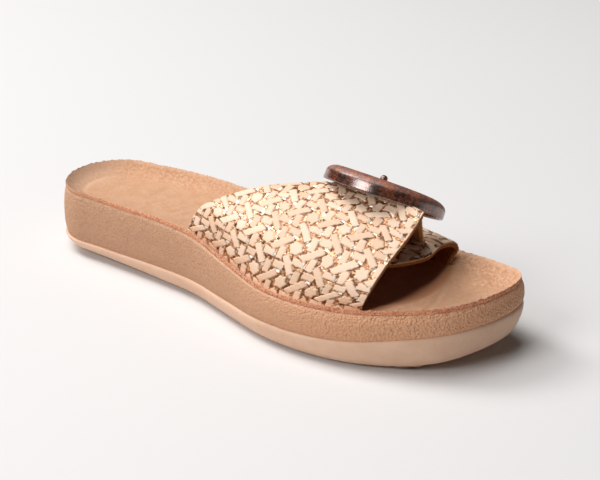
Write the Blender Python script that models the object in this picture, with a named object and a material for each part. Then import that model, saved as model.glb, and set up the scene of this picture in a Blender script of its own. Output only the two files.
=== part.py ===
"""Right slide sandal: moulded sole, leather footbed, two crossed cane-weave straps and a round buckle.

Sizes are in millimetres in the shoe's own frame while the shapes are worked out: x runs from the
heel's rim to the toe, y towards the inner side of the foot and z up from the floor. The finished
meshes are scaled to metres and moved so that the origin is the middle of the box on the floor.
"""
import math

import bmesh
import bpy
import numpy as np
from mathutils import Vector
from mathutils.geometry import delaunay_2d_cdt

MM = 0.001
GAP = 0.3

# Sole
LENGTH = 246.5
HEEL_X = -1.5
HEEL_ROUND = 0.095
TOE_ROUND = 0.13
STATIONS = 32
BED_COLUMNS = 10
FLAT_COLUMNS = 4
SOLE = (
    ("share", "centre", "half", "rim", "seam", "edge", "dish"),
    (0.00, 1.0, 25.5, 35.3, 8.5, 4.6, 7.2),
    (0.10, 1.8, 25.4, 35.1, 8.7, 3.2, 7.2),
    (0.20, 2.3, 27.4, 34.9, 9.1, 2.6, 7.2),
    (0.30, 0.6, 27.8, 35.3, 9.8, 1.9, 7.2),
    (0.40, -2.1, 28.7, 34.2, 10.3, 1.7, 6.8),
    (0.50, -5.3, 33.6, 30.6, 10.6, 1.6, 5.8),
    (0.60, -6.4, 40.0, 27.3, 10.8, 1.5, 5.0),
    (0.70, -5.4, 43.0, 27.2, 11.6, 1.5, 4.8),
    (0.80, -5.0, 39.7, 28.5, 13.8, 1.9, 5.5),
    (0.90, -3.4, 32.0, 31.0, 18.0, 3.8, 7.2),
    (0.95, -0.8, 30.4, 32.5, 20.0, 6.0, 7.8),
    (1.00, 6.5, 30.4, 34.0, 22.0, 8.9, 8.0),
)
DISH_WIDTH = 24.0
ROLL_WIDTH = 7.0
ROLL_PART = 0.42
CREST_X = 212.0
CREST_Y = -3.0
CREST_BOW = 0.010
CREST_RISE = 2.6
CREST_WIDTH = 8.0
CREST_EDGE = 12.0
BED_THICK = 2.2
BED_GAP = 0.4

# Side of the sole, as steps out from the rim's outline at shares of the height
MIDSOLE_SIDE = (
    ("share", "outset"),
    (0.00, 0.9),
    (0.25, 1.9),
    (0.65, 1.7),
    (0.92, 0.6),
    (1.00, 0.0),
)
OUTSOLE_SIDE = (
    ("share", "outset"),
    (0.00, -1.4),
    (0.35, 0.6),
    (0.75, 1.9),
    (0.94, 1.8),
    (1.00, 1.2),
)
SOLE_INSET = 8.0
SOLE_RISE = 0.3

# Tread bars under heel and forefoot, on one plane but for the last bars at the toe
BAR_GROOVE = 2.6
BAR_BOW = 5.0
BAR_TOP = 2.4
BAR_POINTS = 5
BAR_SETS = (
    ("first", "last", "bars", "inset"),
    (12.0, 68.0, 5, 8.0),
    (116.0, 222.0, 9, 5.0),
)
SPRING_FROM = 198.0
SPRING_BOW = 340.0

# Straps
STRAP_THICK = 2.2
LEG_DEPTH = 6.0
LEG_ROWS = (0.10, 0.50, 1.00, 1.40)
SLOT_ROWS = (0.02, 0.50, 1.00, 1.40)
SPANS = 10
LEVELS = 9
LATERAL_FOOT = (90.0, 195.8, 3.6, 3.6)
MEDIAL_FOOT = (111.0, 205.0, 4.6, 9.0)
LATERAL_ROWS = (
    ("rear_x", "rear_y", "rear_z", "front_x", "front_y", "front_z", "crown_y", "crown_z"),
    (97.0, -24.6, 44.2, 198.8, -38.2, 36.3, -6.5, 1.0),
    (106.0, -20.7, 50.4, 200.4, -27.6, 44.4, -4.0, 2.5),
    (123.5, -12.7, 57.4, 202.6, -17.8, 51.0, -2.0, 3.0),
    (140.5, -5.0, 60.5, 204.0, -11.6, 56.0, -0.5, 2.8),
    (153.0, 0.9, 61.7, 205.0, -5.6, 61.3, 0.0, 2.1),
    (160.0, 6.0, 58.8, 201.5, -0.5, 55.5, 0.0, 1.6),
)
TAIL_SINK = 0.3
TAIL_LINE = (0.66, 0.90, 4.35)
MEDIAL_ROWS = (
    ("rear_x", "rear_y", "rear_z", "front_x", "front_y", "front_z", "crown_y", "crown_z"),
    (112.0, 24.5, 38.0, 205.5, 28.6, 31.0, 3.5, 1.0),
    (115.5, 21.5, 43.0, 205.0, 25.2, 35.8, 2.5, 2.0),
    (126.0, 13.5, 47.0, 204.6, 13.5, 38.6, 0.5, 3.0),
    (140.0, 3.5, 49.5, 205.0, 1.0, 38.2, 0.0, 2.5),
    (149.0, -6.0, 50.5, 200.0, -10.0, 38.2, 0.0, 1.5),
    (154.0, -13.0, 50.0, 194.0, -18.0, 38.6, 0.0, 1.0),
)

# Cane weave on the straps: one square repeat, pieces placed by shares of it
REPEAT = 16.6
LATERAL_PHASE = (-9.0, 12.8)
MEDIAL_PHASE = (-9.0, 8.0)
WEAVE_RISE = 0.5
WEAVE_SLOPE = 0.35
WEAVE_EDGE = 2.4
WEAVE = (
    ("across", "down", "turn", "long", "wide"),
    (0.00, 0.00, 22.5, 0.34, 0.34),
    (0.50, 0.00, -45.0, 0.54, 0.20),
    (0.00, 0.50, 45.0, 0.60, 0.20),
    (0.42, -0.33, 90.0, 0.28, 0.18),
    (0.58, 0.33, 90.0, 0.28, 0.18),
    (0.27, 0.38, 0.0, 0.24, 0.18),
    (-0.27, 0.62, 0.0, 0.24, 0.18),
)

# Buckle
RING_CENTRE = (175.3, 12.6, 58.5)
RING_LEAN = 31.5
RING_PITCH = 5.2
RING_RADIUS = 28.2
RING_BEND = 400.0
RING_SIDES = 32
RING_PROFILE = (
    ("inset", "height"),
    (0.0, -2.6),
    (-0.5, -0.8),
    (-0.2, 1.1),
    (1.2, 2.8),
    (3.6, 3.6),
    (6.2, 3.3),
    (7.6, 2.2),
    (6.6, 1.7),
    (4.0, 2.0),
    (2.2, 0.7),
    (1.6, -0.8),
    (1.5, -2.6),
)
BAR_RADIUS = 1.6
BAR_HEIGHT = -1.0
BAR_SHORT = 0.6
BAR_SIDES = 12
PRONG_X = 5.8
PRONG_RADIUS = 1.3
PRONG_BALL = 1.7
SLEEVE_WALL = 1.1
SLEEVE_LENGTH = 4.0
PRONG_PATH = (
    ("back", "height"),
    (2.2, 0.3),
    (8.5, 0.7),
    (13.5, 1.4),
    (16.2, 2.2),
    (17.7, 3.2),
    (18.4, 4.1),
)


def columns(table):
    """A table's columns by the names in its first row."""
    values = np.array(table[1:], dtype=float)
    return {name: values[:, place] for place, name in enumerate(table[0])}


def smooth(knots, values, at):
    """Cubic curve through the knots, with slopes from each knot's neighbours."""
    knots = np.asarray(knots, dtype=float)
    values = np.asarray(values, dtype=float)
    slopes = np.gradient(values, knots, axis=0)
    at = np.clip(np.asarray(at, dtype=float), knots[0], knots[-1])
    place = np.clip(np.searchsorted(knots, at, side="right") - 1, 0, len(knots) - 2)
    step = knots[place + 1] - knots[place]
    share = (at - knots[place]) / step
    if values.ndim > 1:
        share = share[..., None]
        step = step[..., None]
    return (
        values[place] * (1 + 2 * share) * (1 - share) ** 2
        + values[place + 1] * share ** 2 * (3 - 2 * share)
        + slopes[place] * step * share * (1 - share) ** 2
        - slopes[place + 1] * step * share ** 2 * (1 - share)
    )


SOLE_AT = columns(SOLE)


def sole(name, share):
    """One of the sole's sizes at shares of its length."""
    return smooth(SOLE_AT["share"], SOLE_AT[name], share)


def share_at(x):
    """Share of the sole's length at a place along it."""
    return np.clip((x - HEEL_X) / LENGTH, 0, 1)


def half_width(share):
    """Half width of the rim, rounded off at heel and toe."""
    heel = np.clip(1 - share / HEEL_ROUND, 0, 1)
    toe = np.clip(1 - (1 - share) / TOE_ROUND, 0, 1)
    return sole("half", share) * np.sqrt(1 - heel ** 2) * np.sqrt(1 - toe ** 2)


def outline(stations):
    """Rim's plan as a closed loop: outer side heel to toe, then inner side back; with normals."""
    share = (1 - np.cos(np.pi * np.arange(stations + 1) / stations)) / 2
    loop_share = np.concatenate([share, share[-2:0:-1]])
    side = np.concatenate([-np.ones(stations + 1), np.ones(stations - 1)])
    y = sole("centre", loop_share) + side * half_width(loop_share)
    points = np.stack([HEEL_X + loop_share * LENGTH, y], axis=1)
    along = np.roll(points, -1, axis=0) - np.roll(points, 1, axis=0)
    along /= np.linalg.norm(along, axis=1)[:, None]
    normals = np.stack([along[:, 1], -along[:, 0]], axis=1)
    return loop_share, points, normals


LOOP_SHARE, LOOP, LOOP_NORMAL = outline(STATIONS)
FINE_LOOP = outline(STATIONS * 10)[1]


def edge_distance(points):
    """Distance in plan from points to the rim."""
    apart = points[..., None, :] - FINE_LOOP
    return np.sqrt((apart ** 2).sum(axis=-1)).min(axis=-1)


def bed(points):
    """Height of the footbed: a roll inside the rim, then a gentle dish, with a crest behind the toes."""
    share = share_at(points[..., 0])
    inside = edge_distance(points)
    steep = 1 - (1 - np.clip(inside / ROLL_WIDTH, 0, 1)) ** 2
    gentle = 1 - (1 - np.clip(inside / DISH_WIDTH, 0, 1)) ** 2
    roll = ROLL_PART * steep + (1 - ROLL_PART) * gentle
    crest_x = CREST_X - CREST_BOW * (points[..., 1] - CREST_Y) ** 2
    crest = np.exp(-((points[..., 0] - crest_x) / CREST_WIDTH) ** 2)
    crest *= np.clip(inside / CREST_EDGE, 0, 1)
    return sole("rim", share) - sole("dish", share) * roll + CREST_RISE * crest


def seam_height(points):
    """Height of the seam between outsole and midsole."""
    return sole("seam", share_at(points[..., 0]))


def ring_at(outset, height):
    """Loop of points round the sole, stepped out from the rim's plan."""
    plan = LOOP + LOOP_NORMAL * outset
    return np.column_stack([plan, np.broadcast_to(height, len(plan))])


def cap_grid(ring, across, height):
    """Inner points of a cap, row by row between the ring's two sides."""
    rows = np.arange(1, STATIONS)
    near = ring[rows][:, None, :2]
    far = ring[2 * STATIONS - rows][:, None, :2]
    share = (1 + np.sin(np.linspace(-0.5, 0.5, across + 1) * np.pi)[1:-1]) / 2
    plan = near + (far - near) * share[None, :, None]
    return np.concatenate([plan, height(plan)[..., None]], axis=-1)


def cap_faces(ring_start, inner_start, across):
    """Faces of a cap, with single points at heel and toe."""
    def corner(row, column):
        if row in (0, STATIONS):
            return ring_start + row
        if column == 0:
            return ring_start + row
        if column == across:
            return ring_start + 2 * STATIONS - row
        return inner_start + (row - 1) * (across - 1) + column - 1

    faces = []
    for row in range(STATIONS):
        for column in range(across):
            face = [corner(row, column), corner(row + 1, column)]
            face += [corner(row + 1, column + 1), corner(row, column + 1)]
            faces.append(tuple(dict.fromkeys(face)))
    return faces


def stack(rings, bottom, bottom_columns, top, top_columns):
    """Closed body from loops stacked upwards, with caps that follow two height functions."""
    count = 2 * STATIONS
    points = [ring for ring in rings]
    faces = []
    for level in range(len(rings) - 1):
        low = level * count
        for place in range(count):
            after = (place + 1) % count
            faces.append((low + place, low + after, low + count + after, low + count + place))
    start = len(rings) * count
    lower = cap_grid(rings[0], bottom_columns, bottom).reshape(-1, 3)
    upper = cap_grid(rings[-1], top_columns, top).reshape(-1, 3)
    faces += [face[::-1] for face in cap_faces(0, start, bottom_columns)]
    faces += cap_faces(start - count, start + len(lower), top_columns)
    return np.concatenate(points + [lower, upper]), faces


def new_object(name, points, faces):
    """Mesh object in metres from points in millimetres."""
    mesh = bpy.data.meshes.new(name)
    mesh.from_pydata((np.asarray(points) * MM).tolist(), [], faces)
    mesh.validate()
    shape = bpy.data.objects.new(name, mesh)
    bpy.context.scene.collection.objects.link(shape)
    return shape


def combine(target, tools, operation):
    """Apply one exact Boolean per tool to the target, and remove the tools."""
    for tool in tools:
        step = target.modifiers.new(operation, "BOOLEAN")
        step.operation = operation
        step.solver = "EXACT"
        step.object = tool
        depsgraph = bpy.context.evaluated_depsgraph_get()
        result = bpy.data.meshes.new_from_object(target.evaluated_get(depsgraph))
        target.modifiers.clear()
        target.data = result
        bpy.data.objects.remove(tool)


def finish(shape, colour, roughness, metallic, sharp_angle):
    """Shading and the piece's own material."""
    body = bmesh.new()
    body.from_mesh(shape.data)
    bmesh.ops.triangulate(body, faces=body.faces)
    body.to_mesh(shape.data)
    body.free()
    shape.data.shade_smooth()
    shape.data.set_sharp_from_angle(angle=math.radians(sharp_angle))
    material = bpy.data.materials.new(shape.name)
    material.use_nodes = True
    shader = material.node_tree.nodes["Principled BSDF"]
    shader.inputs["Base Color"].default_value = (*colour, 1.0)
    shader.inputs["Roughness"].default_value = roughness
    shader.inputs["Metallic"].default_value = metallic
    shape.data.materials.clear()
    shape.data.materials.append(material)


def foot_curve(foot, inner_side, share):
    """Line where a strap meets the footbed, inset from the rim by one size at its rear and one in front."""
    first, last, rear_inset, front_inset = foot
    x = first + (last - first) * share
    inset = rear_inset + (front_inset - rear_inset) * share ** 2
    station = share_at(x)
    slope = 0.5 / LENGTH
    side = 1.0 if inner_side else -1.0

    def rim_y(at):
        return sole("centre", at) + side * half_width(at)

    lean = (rim_y(station + slope) - rim_y(station - slope)) * side
    y = rim_y(station) - side * inset * np.sqrt(1 + lean ** 2)
    plan = np.stack([x, y], axis=-1)
    return np.concatenate([plan, bed(plan)[..., None]], axis=-1)


class Strap:
    """One strap as a surface: share across from rear to front, and rows from foot to free end."""

    def __init__(self, foot, inner_side, rows, last_row=None):
        self.foot = foot
        self.inner_side = inner_side
        self.rows = columns(rows)
        self.last_row = last_row
        self.count = len(rows) - 1 + 2 + (last_row is not None)
        self.facing = 1.0 if inner_side else -1.0

    def row_curves(self, share):
        """Points of every row at the shares across."""
        base = foot_curve(self.foot, self.inner_side, share)
        curves = [base - np.array([0.0, 0.0, LEG_DEPTH]), base]
        table = self.rows
        for row in range(len(table["rear_x"])):
            rear = np.array([table["rear_x"][row], table["rear_y"][row], table["rear_z"][row]])
            front = np.array([table["front_x"][row], table["front_y"][row], table["front_z"][row]])
            crown = np.array([0.0, table["crown_y"][row], table["crown_z"][row]])
            arch = (4 * share * (1 - share))[..., None]
            curves.append(rear + (front - rear) * share[..., None] + crown * arch)
        if self.last_row is not None:
            curves.append(self.last_row(share))
        return np.stack(curves)

    def at(self, share, row):
        """Points of the outer face."""
        share, row = np.broadcast_arrays(np.asarray(share, float), np.asarray(row, float))
        flat_share = share.ravel()
        flat_row = row.ravel()
        curves = self.row_curves(flat_share)
        slopes = np.gradient(curves, axis=0)
        low = np.clip(np.floor(flat_row).astype(int), 0, self.count - 2)
        part = (flat_row - low)[:, None]
        pick = np.arange(len(flat_row))
        points = (
            curves[low, pick] * (1 + 2 * part) * (1 - part) ** 2
            + curves[low + 1, pick] * part ** 2 * (3 - 2 * part)
            + slopes[low, pick] * part * (1 - part) ** 2
            - slopes[low + 1, pick] * part ** 2 * (1 - part)
        )
        return points.reshape(share.shape + (3,))

    def normal(self, share, row):
        """Outward directions of the outer face."""
        step = 0.01
        top = self.count - 1.0
        share = np.asarray(share, float)
        row = np.asarray(row, float)
        across = self.at(np.minimum(share + step, 1), row) - self.at(np.maximum(share - step, 0), row)
        upward = self.at(share, np.minimum(row + step, top)) - self.at(share, np.maximum(row - step, 0))
        normal = np.cross(across, upward) * -self.facing
        return normal / np.linalg.norm(normal, axis=-1)[..., None]

    def lift(self, share, row, rise):
        """Points at a distance out from the outer face."""
        return self.at(share, row) + self.normal(share, row) * np.asarray(rise)[..., None]

    def flat_scale(self):
        """Rows, lengths up the middle and widths, for laying the strap out flat."""
        rows = np.linspace(0, self.count - 1, 40 * (self.count - 1) + 1)
        middle = self.at(np.full_like(rows, 0.5), rows)
        steps = np.linalg.norm(np.diff(middle, axis=0), axis=1)
        length = np.concatenate([[0.0], np.cumsum(steps)])
        width = np.linalg.norm(self.at(np.ones_like(rows), rows) - self.at(np.zeros_like(rows), rows), axis=1)
        return rows, length, width


def weave_pieces(low_x, high_x, low_y, high_y, phase):
    """Corner loops of the weave's raised pieces over a flat area."""
    chart = columns(WEAVE)
    loops = []
    for column in range(math.floor(low_x / REPEAT) - 1, math.ceil(high_x / REPEAT) + 2):
        for line in range(math.floor(low_y / REPEAT) - 1, math.ceil(high_y / REPEAT) + 2):
            for piece in range(len(chart["turn"])):
                centre = np.array([column + chart["across"][piece], line - chart["down"][piece]])
                centre = centre * REPEAT + phase
                turn = math.radians(chart["turn"][piece])
                ahead = np.array([math.cos(turn), -math.sin(turn)])
                aside = np.array([math.sin(turn), math.cos(turn)])
                half_long = chart["long"][piece] * REPEAT / 2
                half_wide = chart["wide"][piece] * REPEAT / 2
                if half_long == half_wide:
                    angles = np.arange(6) * math.pi / 3
                    loop = [centre + half_long * np.array([math.cos(a), math.sin(a)]) for a in angles]
                else:
                    signs = ((-1, -1), (1, -1), (1, 1), (-1, 1))
                    loop = [centre + ahead * a * half_long + aside * b * half_wide for a, b in signs]
                loops.append(np.array(loop))
    return loops


def strap_body(name, strap, phase):
    """Strap with real thickness: a weave of raised pieces outside and a plain inner face."""
    rows, length, width = strap.flat_scale()
    leg_levels = np.interp(LEG_ROWS, rows, length)
    weave_first = leg_levels[-1]
    last = length[-1]

    def unflatten(flat):
        row = np.interp(flat[:, 1], length, rows)
        share = np.clip(1 + flat[:, 0] / np.interp(flat[:, 1], length, width), 0, 1)
        return share, row

    levels = np.concatenate([leg_levels, np.linspace(weave_first, last, LEVELS + 1)[1:]])
    shares = np.linspace(0, 1, SPANS + 1)
    level_width = np.interp(levels, length, width)

    def inner_grid(first, end):
        return [
            Vector((-level_width[level] * (1 - share), levels[level]))
            for level in range(first, end) for share in shares[1:-1]
        ]

    front = [(0.0, level) for level in levels]
    rear = [(-wide, level) for wide, level in zip(level_width, levels)]
    foot = [(-level_width[0] * (1 - share), levels[0]) for share in shares]
    end = [(-level_width[-1] * (1 - share), levels[-1]) for share in shares]
    border = foot[:-1] + front[:-1] + end[::-1][:-1] + rear[::-1][:-1]
    border_count = len(border)

    points = [Vector(point) for point in border] + inner_grid(1, len(leg_levels))
    raised = [0.0] * len(points)
    loops = [list(range(border_count))]
    for corner_loop in weave_pieces(-width.max(), 0.0, weave_first, last, phase):
        wide = np.interp(corner_loop[:, 1], length, width)
        inside = (corner_loop[:, 0] < -WEAVE_EDGE) & (corner_loop[:, 0] > -wide + WEAVE_EDGE)
        inside &= corner_loop[:, 1] > weave_first + WEAVE_SLOPE
        inside &= corner_loop[:, 1] < last - 2 * WEAVE_EDGE
        if not inside.all():
            continue
        centre = corner_loop.mean(axis=0)
        reach = np.linalg.norm(corner_loop - centre, axis=1)[:, None]
        inner_loop = corner_loop - (corner_loop - centre) / reach * WEAVE_SLOPE
        for loop, rise in ((corner_loop, 0.0), (inner_loop, WEAVE_RISE)):
            loops.append(list(range(len(points), len(points) + len(loop))))
            points += [Vector(corner) for corner in loop]
            raised += [rise] * len(loop)
    edges = [(loop[place - 1], loop[place]) for loop in loops for place in range(len(loop))]
    flat, _, outer_faces, _, _, _ = delaunay_2d_cdt(points, edges, [], 1, 1e-5)
    flat = np.array(flat)[:len(points)]
    share, row = unflatten(flat)
    outer = strap.lift(share, row, np.array(raised))

    inner_flat = [Vector(point) for point in border] + inner_grid(1, len(levels) - 1)
    border_edges = [(place - 1 if place else border_count - 1, place) for place in range(border_count)]
    inner_points, _, inner_faces, _, _, _ = delaunay_2d_cdt(inner_flat, border_edges, [], 1, 1e-5)
    share, row = unflatten(np.array(inner_points))
    inner = strap.lift(share, row, np.full(len(share), -STRAP_THICK))

    start = len(outer)
    faces = [tuple(face) for face in outer_faces]
    faces += [tuple(start + corner for corner in face[::-1]) for face in inner_faces]
    for place in range(border_count):
        before = place - 1 if place else border_count - 1
        faces.append((place, before, start + before, start + place))
    if strap.inner_side:
        faces = [face[::-1] for face in faces]
    return new_object(name, np.concatenate([outer, inner]), faces)


def slot_cutter(name, strap):
    """Band that clears a strap's foot from the footbed and the midsole."""
    shares = np.linspace(0, 1, SPANS + 1)
    rows = np.array(SLOT_ROWS)
    across, up = np.meshgrid(shares, rows)
    side = strap.normal(across, up)
    ends = np.zeros_like(across)
    ends[:, 0] = -2 * GAP
    ends[:, -1] = 2 * GAP
    along = strap.at(np.ones_like(across), up) - strap.at(np.zeros_like(across), up)
    along /= np.linalg.norm(along, axis=-1)[..., None]
    middle = strap.at(across, up) + along * ends[..., None]
    outer = middle + side * GAP
    inner = middle - side * (STRAP_THICK + GAP)
    count = across.size
    faces = []
    place = np.arange(count).reshape(across.shape)
    for row in range(len(rows) - 1):
        for column in range(len(shares) - 1):
            low = place[row, column:column + 2]
            high = place[row + 1, column:column + 2]
            square = (low[0], low[1], high[1], high[0])
            faces.append(square)
            faces.append(tuple(count + corner for corner in square[::-1]))
    border = list(place[0, :-1]) + list(place[:-1, -1]) + list(place[-1, :0:-1]) + list(place[:0:-1, 0])
    for index, corner in enumerate(border):
        before = border[index - 1]
        faces.append((corner, before, count + before, count + corner))
    if strap.inner_side:
        faces = [face[::-1] for face in faces]
    points = np.concatenate([outer.reshape(-1, 3), inner.reshape(-1, 3)])
    return new_object(name, points, [tuple(int(corner) for corner in face) for face in faces])


MEDIAL = Strap(MEDIAL_FOOT, True, MEDIAL_ROWS)


def tail_line(share):
    """End of the outer strap, sunk into the inner strap's outer face."""
    first, last, row = TAIL_LINE
    across = first + (last - first) * share
    return MEDIAL.lift(across, np.full_like(across, row), np.full_like(across, -TAIL_SINK))


LATERAL = Strap(LATERAL_FOOT, False, LATERAL_ROWS, tail_line)


def make_outsole():
    """Boat-shaped outsole with curved tread bars."""
    side = columns(OUTSOLE_SIDE)
    edge = sole("edge", LOOP_SHARE)
    seam = sole("seam", LOOP_SHARE)

    def underside(plan):
        share = share_at(plan[..., 0])
        return sole("edge", share) - SOLE_RISE * np.clip(1 - share, 0, 1)

    rings = [ring_at(-SOLE_INSET, edge - SOLE_RISE * (1 - LOOP_SHARE))]
    for share, outset in zip(side["share"], side["outset"]):
        rings.append(ring_at(outset, edge + (seam - edge) * share))
    shape = new_object("outsole", *stack(rings, underside, FLAT_COLUMNS, seam_height, FLAT_COLUMNS))
    combine(shape, make_tread(underside), "UNION")
    return shape


def make_tread(underside):
    """Curved bars across heel and forefoot."""
    sets = columns(BAR_SETS)
    bars = []
    for first, last, count, inset in zip(sets["first"], sets["last"], sets["bars"], sets["inset"]):
        pitch = (last - first) / count
        for place in range(int(count)):
            start = first + pitch * place
            bars.append(tread_bar(start, start + pitch - BAR_GROOVE, inset, underside))
    return bars


def tread_bar(start, end, inset, underside):
    """One bar, bowed towards the toe and inset from the rim, from the floor into the outsole."""
    spread = np.linspace(-1, 1, BAR_POINTS)
    lines = []
    for x in (start, end):
        share = share_at(x)
        half = half_width(share) - inset
        y = sole("centre", share) + half * spread
        lines.append(np.stack([x + BAR_BOW * (1 - spread ** 2), y], axis=-1))
    plan = np.concatenate([lines[0], lines[1][::-1]])
    ahead = np.clip(plan[:, 0] - SPRING_FROM, 0, None)
    low = np.column_stack([plan, ahead ** 2 / SPRING_BOW])
    high = np.column_stack([plan, np.maximum(underside(plan), low[:, 2]) + BAR_TOP])
    count = len(plan)
    strips = len(spread) - 1
    faces = []
    for place in range(strips):
        other = count - 1 - place
        square = (place, place + 1, other - 1, other)
        faces.append(square)
        faces.append(tuple(count + corner for corner in square[::-1]))
    for place in range(count):
        after = (place + 1) % count
        faces.append((after, place, count + place, count + after))
    return new_object("tread", np.concatenate([low, high]), faces)


def make_midsole(cutters):
    """Moulded midsole between outsole and footbed, with a slot for each strap."""
    side = columns(MIDSOLE_SIDE)
    low = sole("seam", LOOP_SHARE) + GAP
    high = sole("rim", LOOP_SHARE) - BED_THICK - BED_GAP
    rings = []
    for share, outset in zip(side["share"], side["outset"]):
        rings.append(ring_at(outset, low + (high - low) * share))

    def bottom(plan):
        return seam_height(plan) + GAP

    def top(plan):
        return bed(plan) - BED_THICK - BED_GAP

    shape = new_object("midsole", *stack(rings, bottom, FLAT_COLUMNS, top, BED_COLUMNS))
    combine(shape, cutters, "DIFFERENCE")
    return shape


def make_insole(cutters):
    """Leather footbed: a sheet that follows the dish, cut through for the straps."""
    high = sole("rim", LOOP_SHARE)
    rings = [ring_at(0.0, high - BED_THICK), ring_at(0.2, high - BED_THICK / 2), ring_at(0.0, high)]

    def bottom(plan):
        return bed(plan) - BED_THICK

    shape = new_object("insole", *stack(rings, bottom, BED_COLUMNS, bed, BED_COLUMNS))
    combine(shape, cutters, "DIFFERENCE")
    return shape


def make_upper():
    """Both straps as one body, joined where the outer strap's tail meets the inner strap."""
    shape = strap_body("upper", LATERAL, np.array(LATERAL_PHASE))
    combine(shape, [strap_body("inner_strap", MEDIAL, np.array(MEDIAL_PHASE))], "UNION")
    return shape


def buckle_frame(points):
    """Buckle's own axes (along, back, up), bent over the instep and leaned to the inner side."""
    lean = math.radians(RING_LEAN)
    along, back, up = np.moveaxis(np.asarray(points, float), -1, 0)
    up = up - back ** 2 / (2 * RING_BEND)
    y = back * math.cos(lean) + up * math.sin(lean)
    z = -back * math.sin(lean) + up * math.cos(lean)
    pitch = math.radians(RING_PITCH)
    x = along * math.cos(pitch) + z * math.sin(pitch)
    z = -along * math.sin(pitch) + z * math.cos(pitch)
    return np.stack([x, y, z], axis=-1) + np.array(RING_CENTRE)


def tube(name, centres, axis_a, axis_b, radii):
    """Round bar through centres, in the buckle's axes, closed at both ends."""
    angle = np.arange(BAR_SIDES) * 2 * math.pi / BAR_SIDES
    circle = np.cos(angle)[:, None] * np.array(axis_a) + np.sin(angle)[:, None] * np.array(axis_b)
    points = [np.array(centre) + circle * radius for centre, radius in zip(centres, radii)]
    faces = []
    for level in range(len(centres) - 1):
        low = level * BAR_SIDES
        for place in range(BAR_SIDES):
            after = (place + 1) % BAR_SIDES
            faces.append((low + place, low + after, low + BAR_SIDES + after, low + BAR_SIDES + place))
    last = (len(centres) - 1) * BAR_SIDES
    faces.append(tuple(range(BAR_SIDES))[::-1])
    faces.append(tuple(range(last, last + BAR_SIDES)))
    return new_object(name, buckle_frame(np.concatenate(points)), faces)


def make_ring():
    """Cast round frame, hollow under its crown, with the bar across its middle."""
    profile = columns(RING_PROFILE)
    count = len(profile["inset"])
    angle = np.arange(RING_SIDES) * 2 * math.pi / RING_SIDES
    radius = RING_RADIUS - profile["inset"]
    points = np.stack([
        np.cos(angle)[:, None] * radius,
        np.sin(angle)[:, None] * radius,
        np.broadcast_to(profile["height"], (RING_SIDES, count)),
    ], axis=-1).reshape(-1, 3)
    faces = []
    for side in range(RING_SIDES):
        after = (side + 1) % RING_SIDES
        for place in range(count):
            next_place = (place + 1) % count
            faces.append((
                side * count + place, after * count + place,
                after * count + next_place, side * count + next_place,
            ))
    shape = new_object("buckle_ring", buckle_frame(points), faces)
    reach = RING_RADIUS - BAR_SHORT
    ends = [(-reach, 0, BAR_HEIGHT), (reach, 0, BAR_HEIGHT)]
    bar = tube("bar", ends, (0, 1, 0), (0, 0, 1), (BAR_RADIUS,) * 2)
    combine(shape, [bar], "UNION")
    return shape


def make_prong():
    """Prong with a sleeve round the bar, bent up at the crown's inner edge, with a ball at its tip."""
    path = columns(PRONG_PATH)
    centres = [(PRONG_X, -back, height) for back, height in zip(path["back"], path["height"])]
    radii = [PRONG_RADIUS] * len(centres)
    shape = tube("buckle_prong", centres, (0, 0, 1), (1, 0, 0), radii)
    hole = BAR_RADIUS + GAP
    ends = [(PRONG_X - SLEEVE_LENGTH / 2, 0, BAR_HEIGHT), (PRONG_X + SLEEVE_LENGTH / 2, 0, BAR_HEIGHT)]
    sleeve = tube("sleeve", ends, (0, 1, 0), (0, 0, 1), (hole + SLEEVE_WALL,) * 2)
    ends = [(PRONG_X - SLEEVE_LENGTH, 0, BAR_HEIGHT), (PRONG_X + SLEEVE_LENGTH, 0, BAR_HEIGHT)]
    bore = tube("bore", ends, (0, 1, 0), (0, 0, 1), (hole,) * 2)
    tip = np.linspace(0.08, 0.92, 7) * math.pi
    ball_centre = np.array(centres[-1])
    levels = [tuple(ball_centre - np.array([math.cos(turn) * PRONG_BALL, 0, 0])) for turn in tip]
    ball = tube("ball", levels, (0, 1, 0), (0, 0, 1), [math.sin(turn) * PRONG_BALL for turn in tip])
    combine(shape, [sleeve, ball], "UNION")
    combine(shape, [bore], "DIFFERENCE")
    return shape


def settle(shapes):
    """Move the meshes so that the origin is the middle of the box on the floor."""
    corners = np.concatenate([np.array([vertex.co for vertex in shape.data.vertices]) for shape in shapes])
    middle = (corners.min(axis=0) + corners.max(axis=0)) / 2
    shift = Vector((-middle[0], -middle[1], -corners[:, 2].min()))
    for shape in shapes:
        for vertex in shape.data.vertices:
            vertex.co += shift


def main():
    for old in list(bpy.data.objects):
        bpy.data.objects.remove(old)
    outsole = make_outsole()
    midsole = make_midsole([slot_cutter("slot", LATERAL), slot_cutter("slot", MEDIAL)])
    insole = make_insole([slot_cutter("slot", LATERAL), slot_cutter("slot", MEDIAL)])
    upper = make_upper()
    ring = make_ring()
    prong = make_prong()
    settle([outsole, midsole, insole, upper, ring, prong])
    finish(outsole, (0.80, 0.62, 0.50), 0.6, 0.0, 35)
    finish(midsole, (0.60, 0.40, 0.26), 0.7, 0.0, 35)
    finish(insole, (0.52, 0.33, 0.22), 0.9, 0.0, 35)
    finish(upper, (0.86, 0.70, 0.55), 0.55, 0.0, 25)
    finish(ring, (0.36, 0.19, 0.13), 0.35, 1.0, 50)
    finish(prong, (0.36, 0.19, 0.13), 0.35, 1.0, 50)


main()
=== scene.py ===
"""A right slide sandal: moulded sole, suede footbed, two crossed straps of cane-weave leather, round buckle.

Shapes are worked out in millimetres in the shoe's own frame: x from heel to toe, y towards the inner
side of the foot and z up from the floor. They are set down in metres about the middle of the CAD box.
"""
import math

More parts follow.
